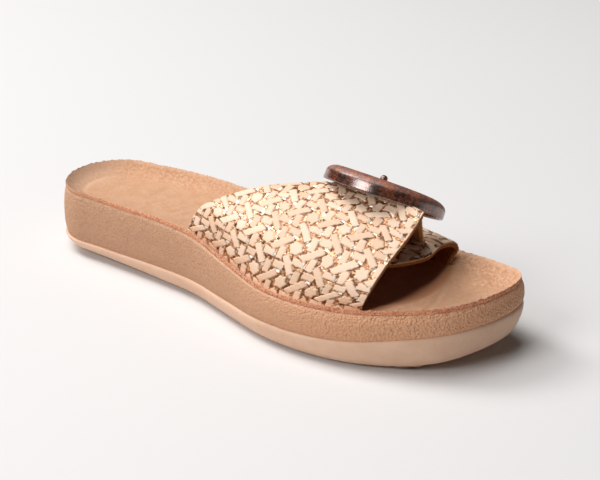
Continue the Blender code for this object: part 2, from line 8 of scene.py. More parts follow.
import bmesh
import bpy
import numpy as np
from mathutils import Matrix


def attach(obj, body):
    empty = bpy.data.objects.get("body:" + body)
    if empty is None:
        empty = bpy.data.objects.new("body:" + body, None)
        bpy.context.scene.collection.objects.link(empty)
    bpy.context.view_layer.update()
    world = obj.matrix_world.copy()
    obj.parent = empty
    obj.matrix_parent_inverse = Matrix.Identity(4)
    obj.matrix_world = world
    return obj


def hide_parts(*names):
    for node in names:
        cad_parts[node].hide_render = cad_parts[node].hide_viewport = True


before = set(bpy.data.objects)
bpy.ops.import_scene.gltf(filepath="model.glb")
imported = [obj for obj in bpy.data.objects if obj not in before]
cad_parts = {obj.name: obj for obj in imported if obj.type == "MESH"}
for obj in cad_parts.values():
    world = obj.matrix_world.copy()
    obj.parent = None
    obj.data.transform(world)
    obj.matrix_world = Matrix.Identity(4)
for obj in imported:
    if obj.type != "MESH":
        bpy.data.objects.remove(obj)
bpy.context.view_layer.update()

# Outsole: one piece of pale rubber, moulded as a shallow boat with a rounded side and a small ledge
# at its top. It stands on curved bars across heel and forefoot, moulded with it.
MM = 0.001
ORIGIN = np.array([121.75, -5.474, 0.0])
LENGTH = 246.5
HEEL_X = -1.5
HEEL_ROUND = 0.095
TOE_ROUND = 0.13
STATIONS = 300
SOLE = (
    ("share", "centre", "half", "rim", "seam", "edge", "dish"),
    (0.00, 1.0, 25.5, 35.3, 8.5, 4.6, 7.2),
    (0.10, 1.8, 25.4, 35.1, 8.7, 3.2, 7.2),
    (0.20, 2.3, 27.4, 34.9, 9.1, 2.6, 7.2),
    (0.30, 0.6, 27.8, 35.3, 9.8, 1.9, 7.2),
    (0.40, -2.1, 28.7, 34.2, 10.3, 1.7, 6.8),
    (0.50, -5.3, 33.6, 30.6, 10.6, 1.6, 5.8),
    (0.60, -6.4, 40.0, 27.3, 10.8, 1.5, 5.0),
    (0.70, -5.4, 43.0, 27.2, 11.6, 1.5, 4.8),
    (0.80, -5.0, 39.7, 28.5, 13.8, 1.9, 5.5),
    (0.90, -3.4, 32.0, 31.0, 18.0, 3.8, 7.2),
    (0.95, -0.8, 30.4, 32.5, 20.0, 6.0, 7.8),
    (1.00, 6.5, 30.4, 34.0, 22.0, 8.9, 8.0),
)
OUTSOLE_SIDE = (
    ("share", "outset"),
    (0.00, -1.4),
    (0.15, -0.3),
    (0.35, 0.6),
    (0.55, 1.4),
    (0.75, 1.9),
    (0.88, 1.95),
    (0.95, 1.75),
    (1.00, 1.2),
)
SIDE_LEVELS = 20
CAP_LEVELS = 12
SOLE_INSET = 8.0
SOLE_RISE = 0.3
LEDGE_TUCK = 2.5
BAR_SETS = (
    ("first", "last", "bars", "inset"),
    (12.0, 68.0, 5, 8.0),
    (116.0, 222.0, 9, 5.0),
)
BAR_GROOVE = 2.6
BAR_BOW = 5.0
BAR_TOP = 2.4
BAR_ROUND = 0.35
BAR_POINTS = 25
SPRING_FROM = 198.0
SPRING_BOW = 340.0
RUBBER = (227, 188, 160)
RUBBER_DARK = (220, 179, 150)
RUBBER_PIT = (176, 132, 104)


def columns(table):
    """A table's columns by the names in its first row."""
    values = np.array(table[1:], dtype=float)
    return {name: values[:, place] for place, name in enumerate(table[0])}


def smooth(knots, values, at):
    """Cubic curve through the knots, with slopes from each knot's neighbours."""
    knots = np.asarray(knots, dtype=float)
    values = np.asarray(values, dtype=float)
    slopes = np.gradient(values, knots, axis=0)
    at = np.clip(np.asarray(at, dtype=float), knots[0], knots[-1])
    place = np.clip(np.searchsorted(knots, at, side="right") - 1, 0, len(knots) - 2)
    step = knots[place + 1] - knots[place]
    share = (at - knots[place]) / step
    spread = share.shape + (1,) * (values.ndim - 1)
    share = share.reshape(spread)
    step = step.reshape(spread)
    return (
        values[place] * (1 + 2 * share) * (1 - share) ** 2
        + values[place + 1] * share ** 2 * (3 - 2 * share)
        + slopes[place] * step * share * (1 - share) ** 2
        - slopes[place + 1] * step * share ** 2 * (1 - share)
    )


def soft_step(value):
    """Rises smoothly from 0 to 1 while the value goes from 0 to 1."""
    value = np.clip(value, 0, 1)
    return value * value * (3 - 2 * value)


SOLE_AT = columns(SOLE)


def sole(name, share):
    """One of the sole's sizes at shares of its length."""
    return smooth(SOLE_AT["share"], SOLE_AT[name], share)


def share_at(x):
    """Share of the sole's length at a place along it."""
    return np.clip((x - HEEL_X) / LENGTH, 0, 1)


def half_width(share):
    """Half width of the rim, rounded off at heel and toe as quarter ellipses."""
    heel = np.clip(1 - share / HEEL_ROUND, 0, 1)
    toe = np.clip(1 - (1 - share) / TOE_ROUND, 0, 1)
    return sole("half", share) * np.sqrt(1 - heel ** 2) * np.sqrt(1 - toe ** 2)


def outline(stations):
    """Rim's plan as a closed loop: outer side heel to toe, then inner side back; with normals."""
    share = (1 - np.cos(np.pi * np.arange(stations + 1) / stations)) / 2
    loop_share = np.concatenate([share, share[-2:0:-1]])
    side = np.concatenate([-np.ones(stations + 1), np.ones(stations - 1)])
    y = sole("centre", loop_share) + side * half_width(loop_share)
    points = np.stack([HEEL_X + loop_share * LENGTH, y], axis=1)
    along = np.roll(points, -1, axis=0) - np.roll(points, 1, axis=0)
    along /= np.linalg.norm(along, axis=1)[:, None]
    normals = np.stack([along[:, 1], -along[:, 0]], axis=1)
    return loop_share, points, normals


LOOP_SHARE, LOOP, LOOP_NORMAL = outline(STATIONS)
FACING = -np.arange(2 * STATIONS) % (2 * STATIONS)


def lap(outset, height):
    """One lap of points round the sole, stepped out from the rim's plan."""
    plan = LOOP + LOOP_NORMAL * np.broadcast_to(outset, len(LOOP))[:, None]
    return np.column_stack([plan, np.broadcast_to(height, len(plan))])


def cap_laps(edge_lap, shares, height):
    """Laps drawn in from an edge lap towards the line midway between the sole's two sides."""
    plan = edge_lap[:, :2]
    middle = (plan + plan[FACING]) / 2
    drawn = middle + (plan - middle) * np.asarray(shares)[:, None, None]
    return np.concatenate([drawn, height(drawn)[..., None]], axis=-1)


def grid_faces(rows, across, around):
    """Four-cornered faces of a grid numbered row by row; around joins the last column to the first."""
    place = np.arange(rows * across).reshape(rows, across)
    if around:
        place = np.concatenate([place, place[:, :1]], axis=1)
    corners = (place[:-1, :-1], place[:-1, 1:], place[1:, 1:], place[1:, :-1])
    return np.stack(corners, axis=-1).reshape(-1, 4)


def make_piece(name, points, faces, marks, sharp_angle):
    """Mesh object in metres, with doubled points joined and its marks kept as attributes."""
    mesh = bpy.data.meshes.new(name)
    world = (np.asarray(points).reshape(-1, 3) - ORIGIN) * MM
    mesh.from_pydata(world.tolist(), [], [list(face) for face in faces])
    for mark, values in marks.items():
        layer = mesh.attributes.new(mark, "FLOAT", "POINT")
        layer.data.foreach_set("value", np.asarray(values, np.float32).ravel())
    body = bmesh.new()
    body.from_mesh(mesh)
    bmesh.ops.remove_doubles(body, verts=body.verts, dist=1e-7)
    bmesh.ops.recalc_face_normals(body, faces=body.faces)
    body.to_mesh(mesh)
    body.free()
    mesh.shade_smooth()
    mesh.set_sharp_from_angle(angle=math.radians(sharp_angle))
    piece = bpy.data.objects.new(name, mesh)
    bpy.context.scene.collection.objects.link(piece)
    return piece


def tint(colour):
    """Linear colour of a colour named by its 0 to 255 screen values."""
    share = np.array(colour) / 255
    linear = np.where(share <= 0.04045, share / 12.92, ((share + 0.055) / 1.055) ** 2.4)
    return (*linear.tolist(), 1.0)


class Finish:
    """A material's nodes, wired by calls that each return an output socket."""

    def __init__(self, name, **constants):
        self.material = bpy.data.materials.new(name)
        self.material.use_nodes = True
        self.nodes = self.material.node_tree.nodes
        self.links = self.material.node_tree.links
        self.shader = self.nodes["Principled BSDF"]
        for socket, value in constants.items():
            self.shader.inputs[socket.replace("_", " ")].default_value = value
        place = self.nodes.new("ShaderNodeTexCoord")
        self.place = self.turn(place.outputs["Object"], (1 / MM,) * 3)

    def wire(self, node, sockets):
        for key, value in sockets.items():
            if isinstance(value, bpy.types.NodeSocket):
                self.links.new(value, node.inputs[key])
            else:
                node.inputs[key].default_value = value

    def turn(self, vector, scale, angle=(0.0, 0.0, 0.0)):
        node = self.nodes.new("ShaderNodeMapping")
        self.wire(node, {"Vector": vector, "Scale": scale, "Rotation": angle})
        return node.outputs["Vector"]

    def mark(self, name):
        node = self.nodes.new("ShaderNodeAttribute")
        node.attribute_name = name
        return node.outputs["Fac"]

    def noise(self, size, detail=3.0, rough=0.55, vector=None, bend=0.0):
        node = self.nodes.new("ShaderNodeTexNoise")
        self.wire(node, {
            "Vector": vector or self.place, "Scale": 1 / size, "Detail": detail, "Roughness": rough,
            "Distortion": bend,
        })
        return node.outputs["Fac"]

    def cells(self, size, feature, vector=None, output="Distance"):
        node = self.nodes.new("ShaderNodeTexVoronoi")
        node.feature = feature
        self.wire(node, {"Vector": vector or self.place, "Scale": 1 / size})
        return node.outputs[output]

    def ramp(self, factor, stops):
        node = self.nodes.new("ShaderNodeValToRGB")
        elements = node.color_ramp.elements
        while len(elements) < len(stops):
            elements.new(0.5)
        for element, (where, value) in zip(elements, stops):
            element.position = where
            element.color = tint(value) if isinstance(value, tuple) else (value, value, value, 1.0)
        self.wire(node, {"Fac": factor})
        return node.outputs["Color"]

    def mix(self, factor, first, second, blend="MIX"):
        node = self.nodes.new("ShaderNodeMix")
        node.data_type = "RGBA"
        node.blend_type = blend
        self.wire(node, {0: factor, 6: first, 7: second})
        return node.outputs[2]

    def sum(self, operation, first, second):
        node = self.nodes.new("ShaderNodeMath")
        node.operation = operation
        self.wire(node, {0: first, 1: second})
        return node.outputs[0]

    def bump(self, height, depth, normal=None):
        node = self.nodes.new("ShaderNodeBump")
        self.wire(node, {"Height": height, "Strength": 1.0, "Distance": depth * MM})
        if normal is not None:
            self.wire(node, {"Normal": normal})
        return node.outputs["Normal"]

    def set(self, **sockets):
        self.wire(self.shader, {name.replace("_", " "): value for name, value in sockets.items()})
        return self.material


def place_piece(piece, materials, node):
    """Give a piece its materials and set it in the CAD frame in place of its node."""
    for material in materials:
        piece.data.materials.append(material)
    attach(piece, "root")
    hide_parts(node)


def underside(plan):
    """Height of the outsole's flat underside."""
    share = share_at(plan[..., 0])
    return sole("edge", share) - SOLE_RISE * (1 - share)


def outsole_laps():
    """Laps from the underside's middle line out to its edge, up the rounded side and in under the midsole."""
    side = columns(OUTSOLE_SIDE)
    edge = sole("edge", LOOP_SHARE)
    seam = sole("seam", LOOP_SHARE)
    inset_lap = lap(-SOLE_INSET, edge - SOLE_RISE * (1 - LOOP_SHARE))
    bottom = cap_laps(inset_lap, np.linspace(0, 1, CAP_LEVELS), underside)
    shares = np.linspace(0, 1, SIDE_LEVELS + 1)
    wall = np.stack([
        lap(smooth(side["share"], side["outset"], share), edge + (seam - edge) * share) for share in shares
    ])
    tuck = lap(-LEDGE_TUCK, seam)
    top = cap_laps(tuck, np.linspace(1, 0, CAP_LEVELS), lambda plan: sole("seam", share_at(plan[..., 0])))
    return np.concatenate([bottom, wall, top])


def tread_bar(start, end, inset):
    """Grid of one bar: loops round its bowed strip from the floor up into the outsole, corners rounded."""
    spread = np.linspace(-1, 1, BAR_POINTS)
    share = share_at(np.array([start, end]))[:, None]
    y = sole("centre", share) + (half_width(share) - inset) * spread
    x = np.array([start, end])[:, None] + BAR_BOW * (1 - spread ** 2)
    lines = np.stack([x, y], axis=-1)
    plan = np.concatenate([lines[0], lines[1, ::-1]])
    middle = np.concatenate([lines.mean(axis=0), lines.mean(axis=0)[::-1]])
    inward = (middle - plan) / np.linalg.norm(middle - plan, axis=1)[:, None]
    ahead = np.clip(plan[:, 0] - SPRING_FROM, 0, None)
    low = ahead ** 2 / SPRING_BOW
    high = np.maximum(underside(plan), low) + BAR_TOP
    rounded = plan + inward * BAR_ROUND
    levels = ((middle, low), (rounded, low), (plan, low + BAR_ROUND), (plan, high), (middle, high))
    return np.stack([np.column_stack(level) for level in levels])


def tread_bars():
    """Points and faces of all the bars, set by set along the sole."""
    sets = columns(BAR_SETS)
    points = []
    faces = []
    start_at = 0
    for first, last, count, inset in zip(sets["first"], sets["last"], sets["bars"], sets["inset"]):
        pitch = (last - first) / count
        for start in first + pitch * np.arange(int(count)):
            bar = tread_bar(start, start + pitch - BAR_GROOVE, inset)
            points.append(bar.reshape(-1, 3))
            faces.append(grid_faces(bar.shape[0], bar.shape[1], True) + start_at)
            start_at += bar.shape[0] * bar.shape[1]
    return np.concatenate(points), np.concatenate(faces)


def rubber_finish():
    """Pale moulded rubber: even colour with faint clouding, a fine matt skin and few small pits."""
    finish = Finish("outsole_rubber", Specular_IOR_Level=0.35)
    cloud = finish.noise(11.0, 3.0)
    colour = finish.ramp(cloud, ((0.32, RUBBER_DARK), (0.6, RUBBER)))
    pits = finish.ramp(finish.cells(5.0, "F1"), ((0.03, 1.0), (0.075, 0.0)))
    colour = finish.mix(finish.sum("MULTIPLY", pits, 0.5), colour, tint(RUBBER_PIT))
    skin = finish.noise(1.1, 4.0, 0.65)
    normal = finish.bump(pits, -0.06, finish.bump(skin, 0.2))
    roughness = finish.ramp(finish.noise(5.0), ((0.3, 0.5), (0.7, 0.62)))
    return finish.set(Base_Color=colour, Roughness=roughness, Normal=normal)


laps = outsole_laps()
rubber = rubber_finish()
outsole = make_piece("outsole_shell", laps, grid_faces(len(laps), 2 * STATIONS, True), {}, 50)
place_piece(outsole, [rubber], "outsole")
tread = make_piece("tread_bars", *tread_bars(), {}, 50)
place_piece(tread, [rubber], "outsole")

# Midsole: cast foam, tan, standing on the outsole and dished for the footbed above. Its side swells
# a little and carries a moulded leather grain, fine at the heel and coarser towards the toe.
MIDSOLE_SIDE = (
    ("share", "outset"),
    (0.00, 0.9),
    (0.06, 1.25),
    (0.25, 1.9),
    (0.45, 1.9),
    (0.65, 1.7),
    (0.82, 1.2),
    (0.92, 0.7),
    (0.97, 0.35),
    (1.00, 0.0),
)
MIDSOLE_TUCK = 0.3
BED_THICK = 2.2
BED_GAP = 0.05
DISH_WIDTH = 24.0
ROLL_WIDTH = 7.0
ROLL_PART = 0.42
CREST_X = 212.0
CREST_Y = -3.0
CREST_BOW = 0.010
CREST_RISE = 2.6
CREST_WIDTH = 8.0
CREST_EDGE = 12.0
FINE_LOOP = outline(2000)[1]
LIP_SHARE = 0.955
FOAM = (201, 153, 120)
FOAM_TOE_PAINTED_LIGHT = (226, 168, 129)
FOAM_PIT = (128, 87, 63)
FOAM_LIP = (240, 203, 172)


def edge_distance(points):
    """Distance in plan from a grid of points to the rim, row by row."""
    rows = [np.hypot(*np.moveaxis(row[:, None, :] - FINE_LOOP, -1, 0)).min(axis=-1) for row in points]
    return np.stack(rows)


def bed(points):
    """Height of the footbed: a roll inside the rim, then a gentle dish, with a crest behind the toes."""
    share = share_at(points[..., 0])
    inside = edge_distance(points)
    steep = 1 - (1 - np.clip(inside / ROLL_WIDTH, 0, 1)) ** 2
    gentle = 1 - (1 - np.clip(inside / DISH_WIDTH, 0, 1)) ** 2
    roll = ROLL_PART * steep + (1 - ROLL_PART) * gentle
    crest_x = CREST_X - CREST_BOW * (points[..., 1] - CREST_Y) ** 2
    crest = np.exp(-((points[..., 0] - crest_x) / CREST_WIDTH) ** 2)
    crest *= np.clip(inside / CREST_EDGE, 0, 1)
    return sole("rim", share) - sole("dish", share) * roll + CREST_RISE * crest


def midsole_laps():
    """Laps from the underside's middle line, up the swelling side and in over the dished top, with the
    marks they carry: place along the sole, and the pale lip at the top of the side."""
    side = columns(MIDSOLE_SIDE)
    low = sole("seam", LOOP_SHARE) - MIDSOLE_TUCK
    high = sole("rim", LOOP_SHARE) - BED_THICK - BED_GAP
    shares = np.linspace(0, 1, SIDE_LEVELS + 9)
    wall = np.stack([
        lap(smooth(side["share"], side["outset"], share), low + (high - low) * share) for share in shares
    ])
    bottom = cap_laps(wall[0], np.linspace(0, 1, CAP_LEVELS)[:-1], lambda plan: np.broadcast_to(
        sole("seam", share_at(plan[..., 0])) - MIDSOLE_TUCK, plan.shape[:-1]))
    shares = (1 - np.linspace(0, 1, 2 * CAP_LEVELS) ** 2)[1:]
    top = cap_laps(wall[-1], shares, lambda plan: bed(plan) - BED_THICK - BED_GAP)
    laps = np.concatenate([bottom, wall, top])
    lip = np.zeros(laps.shape[:2])
    lip[len(bottom) + int(LIP_SHARE * len(wall)):] = 1.0
    return laps, {"along": share_at(laps[..., 0]), "lip": lip}


def foam_finish():
    """Cast foam skin with a leather grain: fine noise at the heel, bent bumps and cells towards the toe,
    with painted shade in its hollows and painted light making the toe paler than the heel, scattered pits
    and a pale lip where the mould closed."""
    finish = Finish("midsole_foam", Roughness=0.66, Specular_IOR_Level=0.3)
    toe = finish.ramp(finish.mark("along"), ((0.48, 0.0), (0.84, 1.0)))
    fine = finish.noise(1.2, 3.0, 0.7)
    bent = finish.noise(0.9, 2.0, 0.5, bend=0.5)
    cells = finish.sum("SUBTRACT", 1.0, finish.cells(0.95, "SMOOTH_F1"))
    coarse = finish.sum("ADD", finish.sum("MULTIPLY", cells, 0.8), finish.sum("MULTIPLY", bent, 0.6))
    grain = finish.mix(toe, fine, coarse)
    # painted light: the foam is painted darker at the heel and lighter towards the toe, standing in for light
    # that falls unevenly along the side
    front = finish.ramp(finish.mark("along"), ((0.52, 0.0), (0.8, 1.0)))
    colour = finish.mix(front, tint(FOAM), tint(FOAM_TOE_PAINTED_LIGHT))
    # painted shade: the grain's hollows are painted darker
    fine_hollow_shade = finish.ramp(fine, ((0.36, 0.86), (0.56, 1.0)))
    coarse_hollow_shade = finish.ramp(coarse, ((0.62, 0.9), (0.86, 1.0)))
    hollow_shade = finish.mix(toe, fine_hollow_shade, coarse_hollow_shade)
    colour = finish.mix(1.0, colour, hollow_shade, "MULTIPLY")
    specks = finish.ramp(finish.cells(1.9, "F1"), ((0.08, 1.0), (0.24, 0.0)))
    smooth_share = finish.ramp(toe, ((0.0, 0.3), (1.0, 0.1)))
    colour = finish.mix(finish.sum("MULTIPLY", specks, smooth_share), colour, tint(FOAM_PIT))
    waist = finish.ramp(finish.mark("along"), ((0.2, 0.1), (0.5, 0.5), (0.9, 0.1)))
    lip = finish.sum("MULTIPLY", finish.mark("lip"), waist)
    colour = finish.mix(lip, colour, tint(FOAM_LIP))
    depth = finish.ramp(toe, ((0.0, 0.5), (1.0, 0.6)))
    height = finish.mix(1.0, grain, depth, "MULTIPLY")
    normal = finish.bump(specks, -0.08, finish.bump(height, 1.8))
    return finish.set(Base_Color=colour, Normal=normal)


laps, marks = midsole_laps()
midsole = make_piece("midsole_body", laps, grid_faces(len(laps), 2 * STATIONS, True), marks, 60)
place_piece(midsole, [foam_finish()], "midsole")

# Footbed: a sheet of tan suede leather glued into the midsole's dish, pressed to the shape of the foot.
# Its rim is cut raw, reddish and fibrous, and the straps go down through slits close to it.
RIM_FRAY = 0.45
FRAY_SIZES = (0.9, 1.3, 2.1, 3.4, 6.0)
LIFT_SIZES = (0.8, 1.1, 1.9, 4.0)
FRAY_EASE = 0.4
LIFT_FADE = 40
CUT_STEPS = (0.0, 0.12, 0.3, 0.5, 0.7, 0.86, 0.96, 1.0)
EDGE_BULGE = 0.2
HEEL_FOLD = (8.2, 1.6, 0.4)
HEEL_FOLD_END = 0.42
HEEL_FOLD_FADE = 4
# A band of painted shadow lies behind the toe crest: it starts a little ahead of the crest and fades further
# back.
CREST_LEAD = 1.6
CREST_SHADOW_REACH = 18.0
CREST_SHADOW_END = 1.5
BED_LEVELS = 72
BED_CROWD = 1.7
STRAP_THICK = 2.2
LEG_DEPTH = 6.0
LATERAL_FOOT = (90.0, 195.8, 3.6, 3.6)
MEDIAL_FOOT = (111.0, 205.0, 4.6, 9.0)
SLIT_DEPTH = 1.6
SLIT_WIDTH = 1.0
CREASE_ROLL = 0.5
CREASE_ROLL_AT = 2
CREASES = (
    ("x", "y", "turn", "length", "width", "depth"),
    (61.0, 1.0, 62.0, 7.0, 1.1, 0.30),
    (66.0, -2.6, 58.0, 9.0, 1.2, 0.38),
    (71.5, -6.4, 52.0, 9.0, 1.2, 0.40),
    (77.0, -10.4, 50.0, 8.0, 1.1, 0.36),
    (82.5, -14.6, 46.0, 7.0, 1.1, 0.32),
    (215.0, -5.0, 100.0, 16.0, 0.9, 0.35),
    (217.2, -18.5, 92.0, 13.0, 0.9, 0.35),
    (214.0, 6.5, 117.0, 11.0, 0.9, 0.30),
    (228.0, 13.0, 14.0, 14.0, 1.5, 0.24),
)
SUEDE = (202, 157, 124)
SUEDE_DARK = (192, 145, 111)
SUEDE_NAP = (190, 126, 84)
SUEDE_PALE = (226, 186, 156)
CUT_RED = (220, 138, 98)
CUT_DARK = (168, 96, 66)
CUT_PALE = (240, 182, 146)


def waves(*places, sizes, seed):
    """Small irregular heights from -1 to 1: sines of the given sizes, turned and started by the seed."""
    dice = np.random.default_rng(seed)
    total = 0.0
    for size in sizes:
        way = dice.normal(size=len(places))
        way *= 2 * np.pi / size / np.linalg.norm(way)
        phase = dice.uniform(0, 2 * np.pi)
        total = total + np.sin(sum(place * step for place, step in zip(places, way)) + phase)
    return total / len(sizes)


def foot_curve(foot, inner_side, share):
    """Line where a strap meets the footbed, inset from the rim by one size at its rear and one in front."""
    first, last, rear_inset, front_inset = foot
    x = first + (last - first) * share
    inset = rear_inset + (front_inset - rear_inset) * share ** 2
    station = share_at(x)
    slope = 0.5 / LENGTH
    side = 1.0 if inner_side else -1.0

    def rim_y(at):
        return sole("centre", at) + side * half_width(at)

    lean = (rim_y(station + slope) - rim_y(station - slope)) * side
    y = rim_y(station) - side * inset * np.sqrt(1 + lean ** 2)
    plan = np.stack([x, y], axis=-1)
    return np.concatenate([plan, bed(plan[None])[0][..., None]], axis=-1)


def creased_bed(plan):
    """The bed with a fold round the heel, a set distance inside the rim, and listed creases: each a
    soft trough along a short line with a low roll on both sides, fading at its ends. The straps' slits
    are narrow troughs too."""
    height = bed(plan)
    inset, width, depth = HEEL_FOLD
    fade = soft_step(HEEL_FOLD_FADE * (1 - share_at(plan[..., 0]) / HEEL_FOLD_END))
    height -= depth * fade * np.exp(-((edge_distance(plan) - inset) / width) ** 2)
    table = columns(CREASES)
    for place in range(len(table["x"])):
        turn = math.radians(table["turn"][place])
        x = plan[..., 0] - table["x"][place]
        y = plan[..., 1] - table["y"][place]
        along = x * math.cos(turn) + y * math.sin(turn)
        aside = y * math.cos(turn) - x * math.sin(turn)
        fade = np.exp(-(2 * along / table["length"][place]) ** 4)
        offset = np.abs(aside) / table["width"][place]
        trough = np.exp(-offset ** 2)
        roll = CREASE_ROLL * np.exp(-(offset - CREASE_ROLL_AT) ** 2)
        height -= table["depth"][place] * fade * (trough - roll)
    for foot, inner_side in ((LATERAL_FOOT, False), (MEDIAL_FOOT, True)):
        line = foot_curve(foot, inner_side, np.linspace(-0.01, 1.01, 300))[:, :2]
        rows = [np.hypot(*np.moveaxis(row[:, None, :] - line, -1, 0)).min(axis=-1) for row in plan]
        height -= SLIT_DEPTH * np.exp(-(np.stack(rows) / SLIT_WIDTH) ** 2)
    return height


def footbed_laps():
    """Laps over the hidden underside, up the cut edge and in across the suede, with the marks they carry."""
    high = sole("rim", LOOP_SHARE)
    fray = RIM_FRAY * waves(LOOP[:, 0], LOOP[:, 1], sizes=FRAY_SIZES, seed=4)
    lift = RIM_FRAY * waves(LOOP[:, 0], LOOP[:, 1], sizes=LIFT_SIZES, seed=9)
    wall = np.stack([
        lap(EDGE_BULGE * math.sin(math.pi * step) + fray * (1 - abs(2 * step - 1) * FRAY_EASE),
            high - BED_THICK * (1 - step) + lift * step) for step in CUT_STEPS
    ])
    drawn = (1 - np.linspace(0, 1, BED_LEVELS) ** BED_CROWD)[1:]
    top = cap_laps(wall[-1], drawn, creased_bed)
    fade = np.clip(1 - LIFT_FADE * (1 - drawn), 0, 1)[:, None]
    top[..., 2] += lift * fade
    bottom = cap_laps(wall[0], np.linspace(0, 1, CAP_LEVELS)[:-1], lambda plan: bed(plan) - BED_THICK)
    laps = np.concatenate([bottom, wall, top])
    cut = np.zeros(laps.shape[:2])
    cut[:len(bottom) + len(wall) - 1] = 1.0
    # painted shadow: a darker band behind the toe crest, where the straps shade the bed
    behind = CREST_X - CREST_BOW * (laps[..., 1] - CREST_Y) ** 2 + CREST_LEAD - laps[..., 0]
    worn = soft_step(behind / CREST_LEAD) * soft_step(CREST_SHADOW_END - behind / CREST_SHADOW_REACH)
    return laps, {"cut": cut, "inside": edge_distance(laps[..., :2]), "along": share_at(laps[..., 0]),
                  "worn": worn}


def suede_finish():
    """Suede with a short nap, clumped near the rim, with painted shadow behind the crest, a painted highlight
    along the rim's top and painted light on the heel end's wall, pressed smooth on the flats; raw red cut
    edge."""
    finish = Finish("footbed_suede", Roughness=0.92, Specular_IOR_Level=0.12, Sheen_Weight=0.12,
                    Sheen_Roughness=0.5)
    inside = finish.sum("DIVIDE", finish.mark("inside"), 20.0)
    patchy = finish.sum("ADD", inside, finish.sum("MULTIPLY", finish.noise(10.0, 2.0), 0.5))
    along = finish.mark("along")
    toe = finish.ramp(along, ((0.85, 0.0), (0.95, 0.55)))
    flat = finish.ramp(finish.sum("SUBTRACT", patchy, toe), ((0.35, 0.0), (0.85, 1.0)))
    nap = finish.mix(0.5, finish.noise(0.6, 4.0, 0.7), finish.noise(1.6, 3.0, 0.65))
    cloud = finish.noise(7.0, 4.0, 0.6)
    colour = finish.ramp(cloud, ((0.3, SUEDE_DARK), (0.58, SUEDE)))
    rough_patch = finish.ramp(nap, ((0.38, SUEDE_NAP), (0.50, SUEDE), (0.62, SUEDE_PALE)))
    rough_share = finish.ramp(flat, ((0.0, 0.85), (1.0, 0.25)))
    colour = finish.mix(rough_share, colour, rough_patch)
    # painted shadow behind the toe crest
    colour = finish.mix(finish.sum("MULTIPLY", finish.mark("worn"), 0.8), colour, tint(SUEDE_NAP))
    # painted highlight along the rim's rounded top
    rim_highlight = finish.ramp(inside, ((0.0, 0.6), (0.08, 0.0)))
    colour = finish.mix(rim_highlight, colour, tint(SUEDE_PALE))
    # painted light: the heel end's wall, which faces away from the light, is painted paler
    heel_wall_light = finish.ramp(along, ((0.0, 0.75), (0.07, 0.0)))
    colour = finish.mix(heel_wall_light, colour, tint(SUEDE_PALE))
    fibre = finish.noise(0.9, 4.0, 0.8)
    raw = finish.ramp(fibre, ((0.36, CUT_DARK), (0.48, CUT_RED), (0.6, CUT_PALE)))
    heel = finish.ramp(along, ((0.03, 0.85), (0.22, 0.0)))
    raw = finish.mix(heel, raw, tint(SUEDE_DARK))
    cut = finish.ramp(finish.mark("cut"), ((0.35, 0.0), (0.75, 1.0)))
    colour = finish.mix(cut, colour, raw)
    depth = finish.ramp(flat, ((0.0, 1.0), (1.0, 0.3)))
    height = finish.mix(cut, finish.mix(1.0, nap, depth, "MULTIPLY"), fibre)
    return finish.set(Base_Color=colour, Normal=finish.bump(height, 0.45))


laps, marks = footbed_laps()
footbed = make_piece("footbed_sheet", laps, grid_faces(len(laps), 2 * STATIONS, True), marks, 60)
place_piece(footbed, [suede_finish()], "insole")

# Straps: printed leather embossed as cane weave, cream strips over a crinkled rose-gold foil ground,
# on a brown suede lining with edges cut raw. The outer strap's tail is fixed on top of the inner strap.
LATERAL_ROWS = (
    ("rear_x", "rear_y", "rear_z", "front_x", "front_y", "front_z", "crown_y", "crown_z"),
    (97.0, -24.6, 44.2, 198.8, -38.2, 36.3, -6.5, 1.0),
    (106.0, -20.7, 50.4, 200.4, -27.6, 44.4, -4.0, 2.5),
    (123.5, -12.7, 57.4, 202.6, -17.8, 51.0, -2.0, 3.0),
    (140.5, -5.0, 60.5, 204.0, -11.6, 56.0, -0.5, 2.8),
    (153.0, 0.9, 61.7, 205.0, -5.6, 61.3, 0.0, 2.1),
    (160.0, 6.0, 58.8, 201.5, -0.5, 55.5, 0.0, 1.6),
)
TAIL_SINK = 0.3
TAIL_LINE = (0.66, 0.90, 4.35)
MEDIAL_ROWS = (
    ("rear_x", "rear_y", "rear_z", "front_x", "front_y", "front_z", "crown_y", "crown_z"),
    (112.0, 24.5, 38.0, 205.5, 28.6, 31.0, 3.5, 1.0),
    (115.5, 21.5, 43.0, 205.0, 25.2, 35.8, 2.5, 2.0),
    (126.0, 13.5, 47.0, 204.6, 13.5, 38.6, 0.5, 3.0),
    (140.0, 3.5, 49.5, 205.0, 1.0, 38.2, 0.0, 2.5),
    (149.0, -6.0, 50.5, 200.0, -10.0, 38.2, 0.0, 1.5),
    (154.0, -13.0, 50.0, 194.0, -18.0, 38.6, 0.0, 1.0),
)
FOOT_ROW = 0.35
COARSE = 6
LATERAL_GRID = (282, 300)
MEDIAL_GRID = (216, 240)
REPEAT = 16.6
WEAVE_LAY = (
    ("length", "line", "shift"),
    (0.0, -0.80, 0.0),
    (12.4, 0.0, 0.5),
    (28.9, 1.0, 1.8),
    (47.2, 2.0, -0.4),
    (64.0, 3.0, -0.4),
    (115.0, 6.0, -0.4),
)
LATERAL_START = -9.0
MEDIAL_START = -9.0
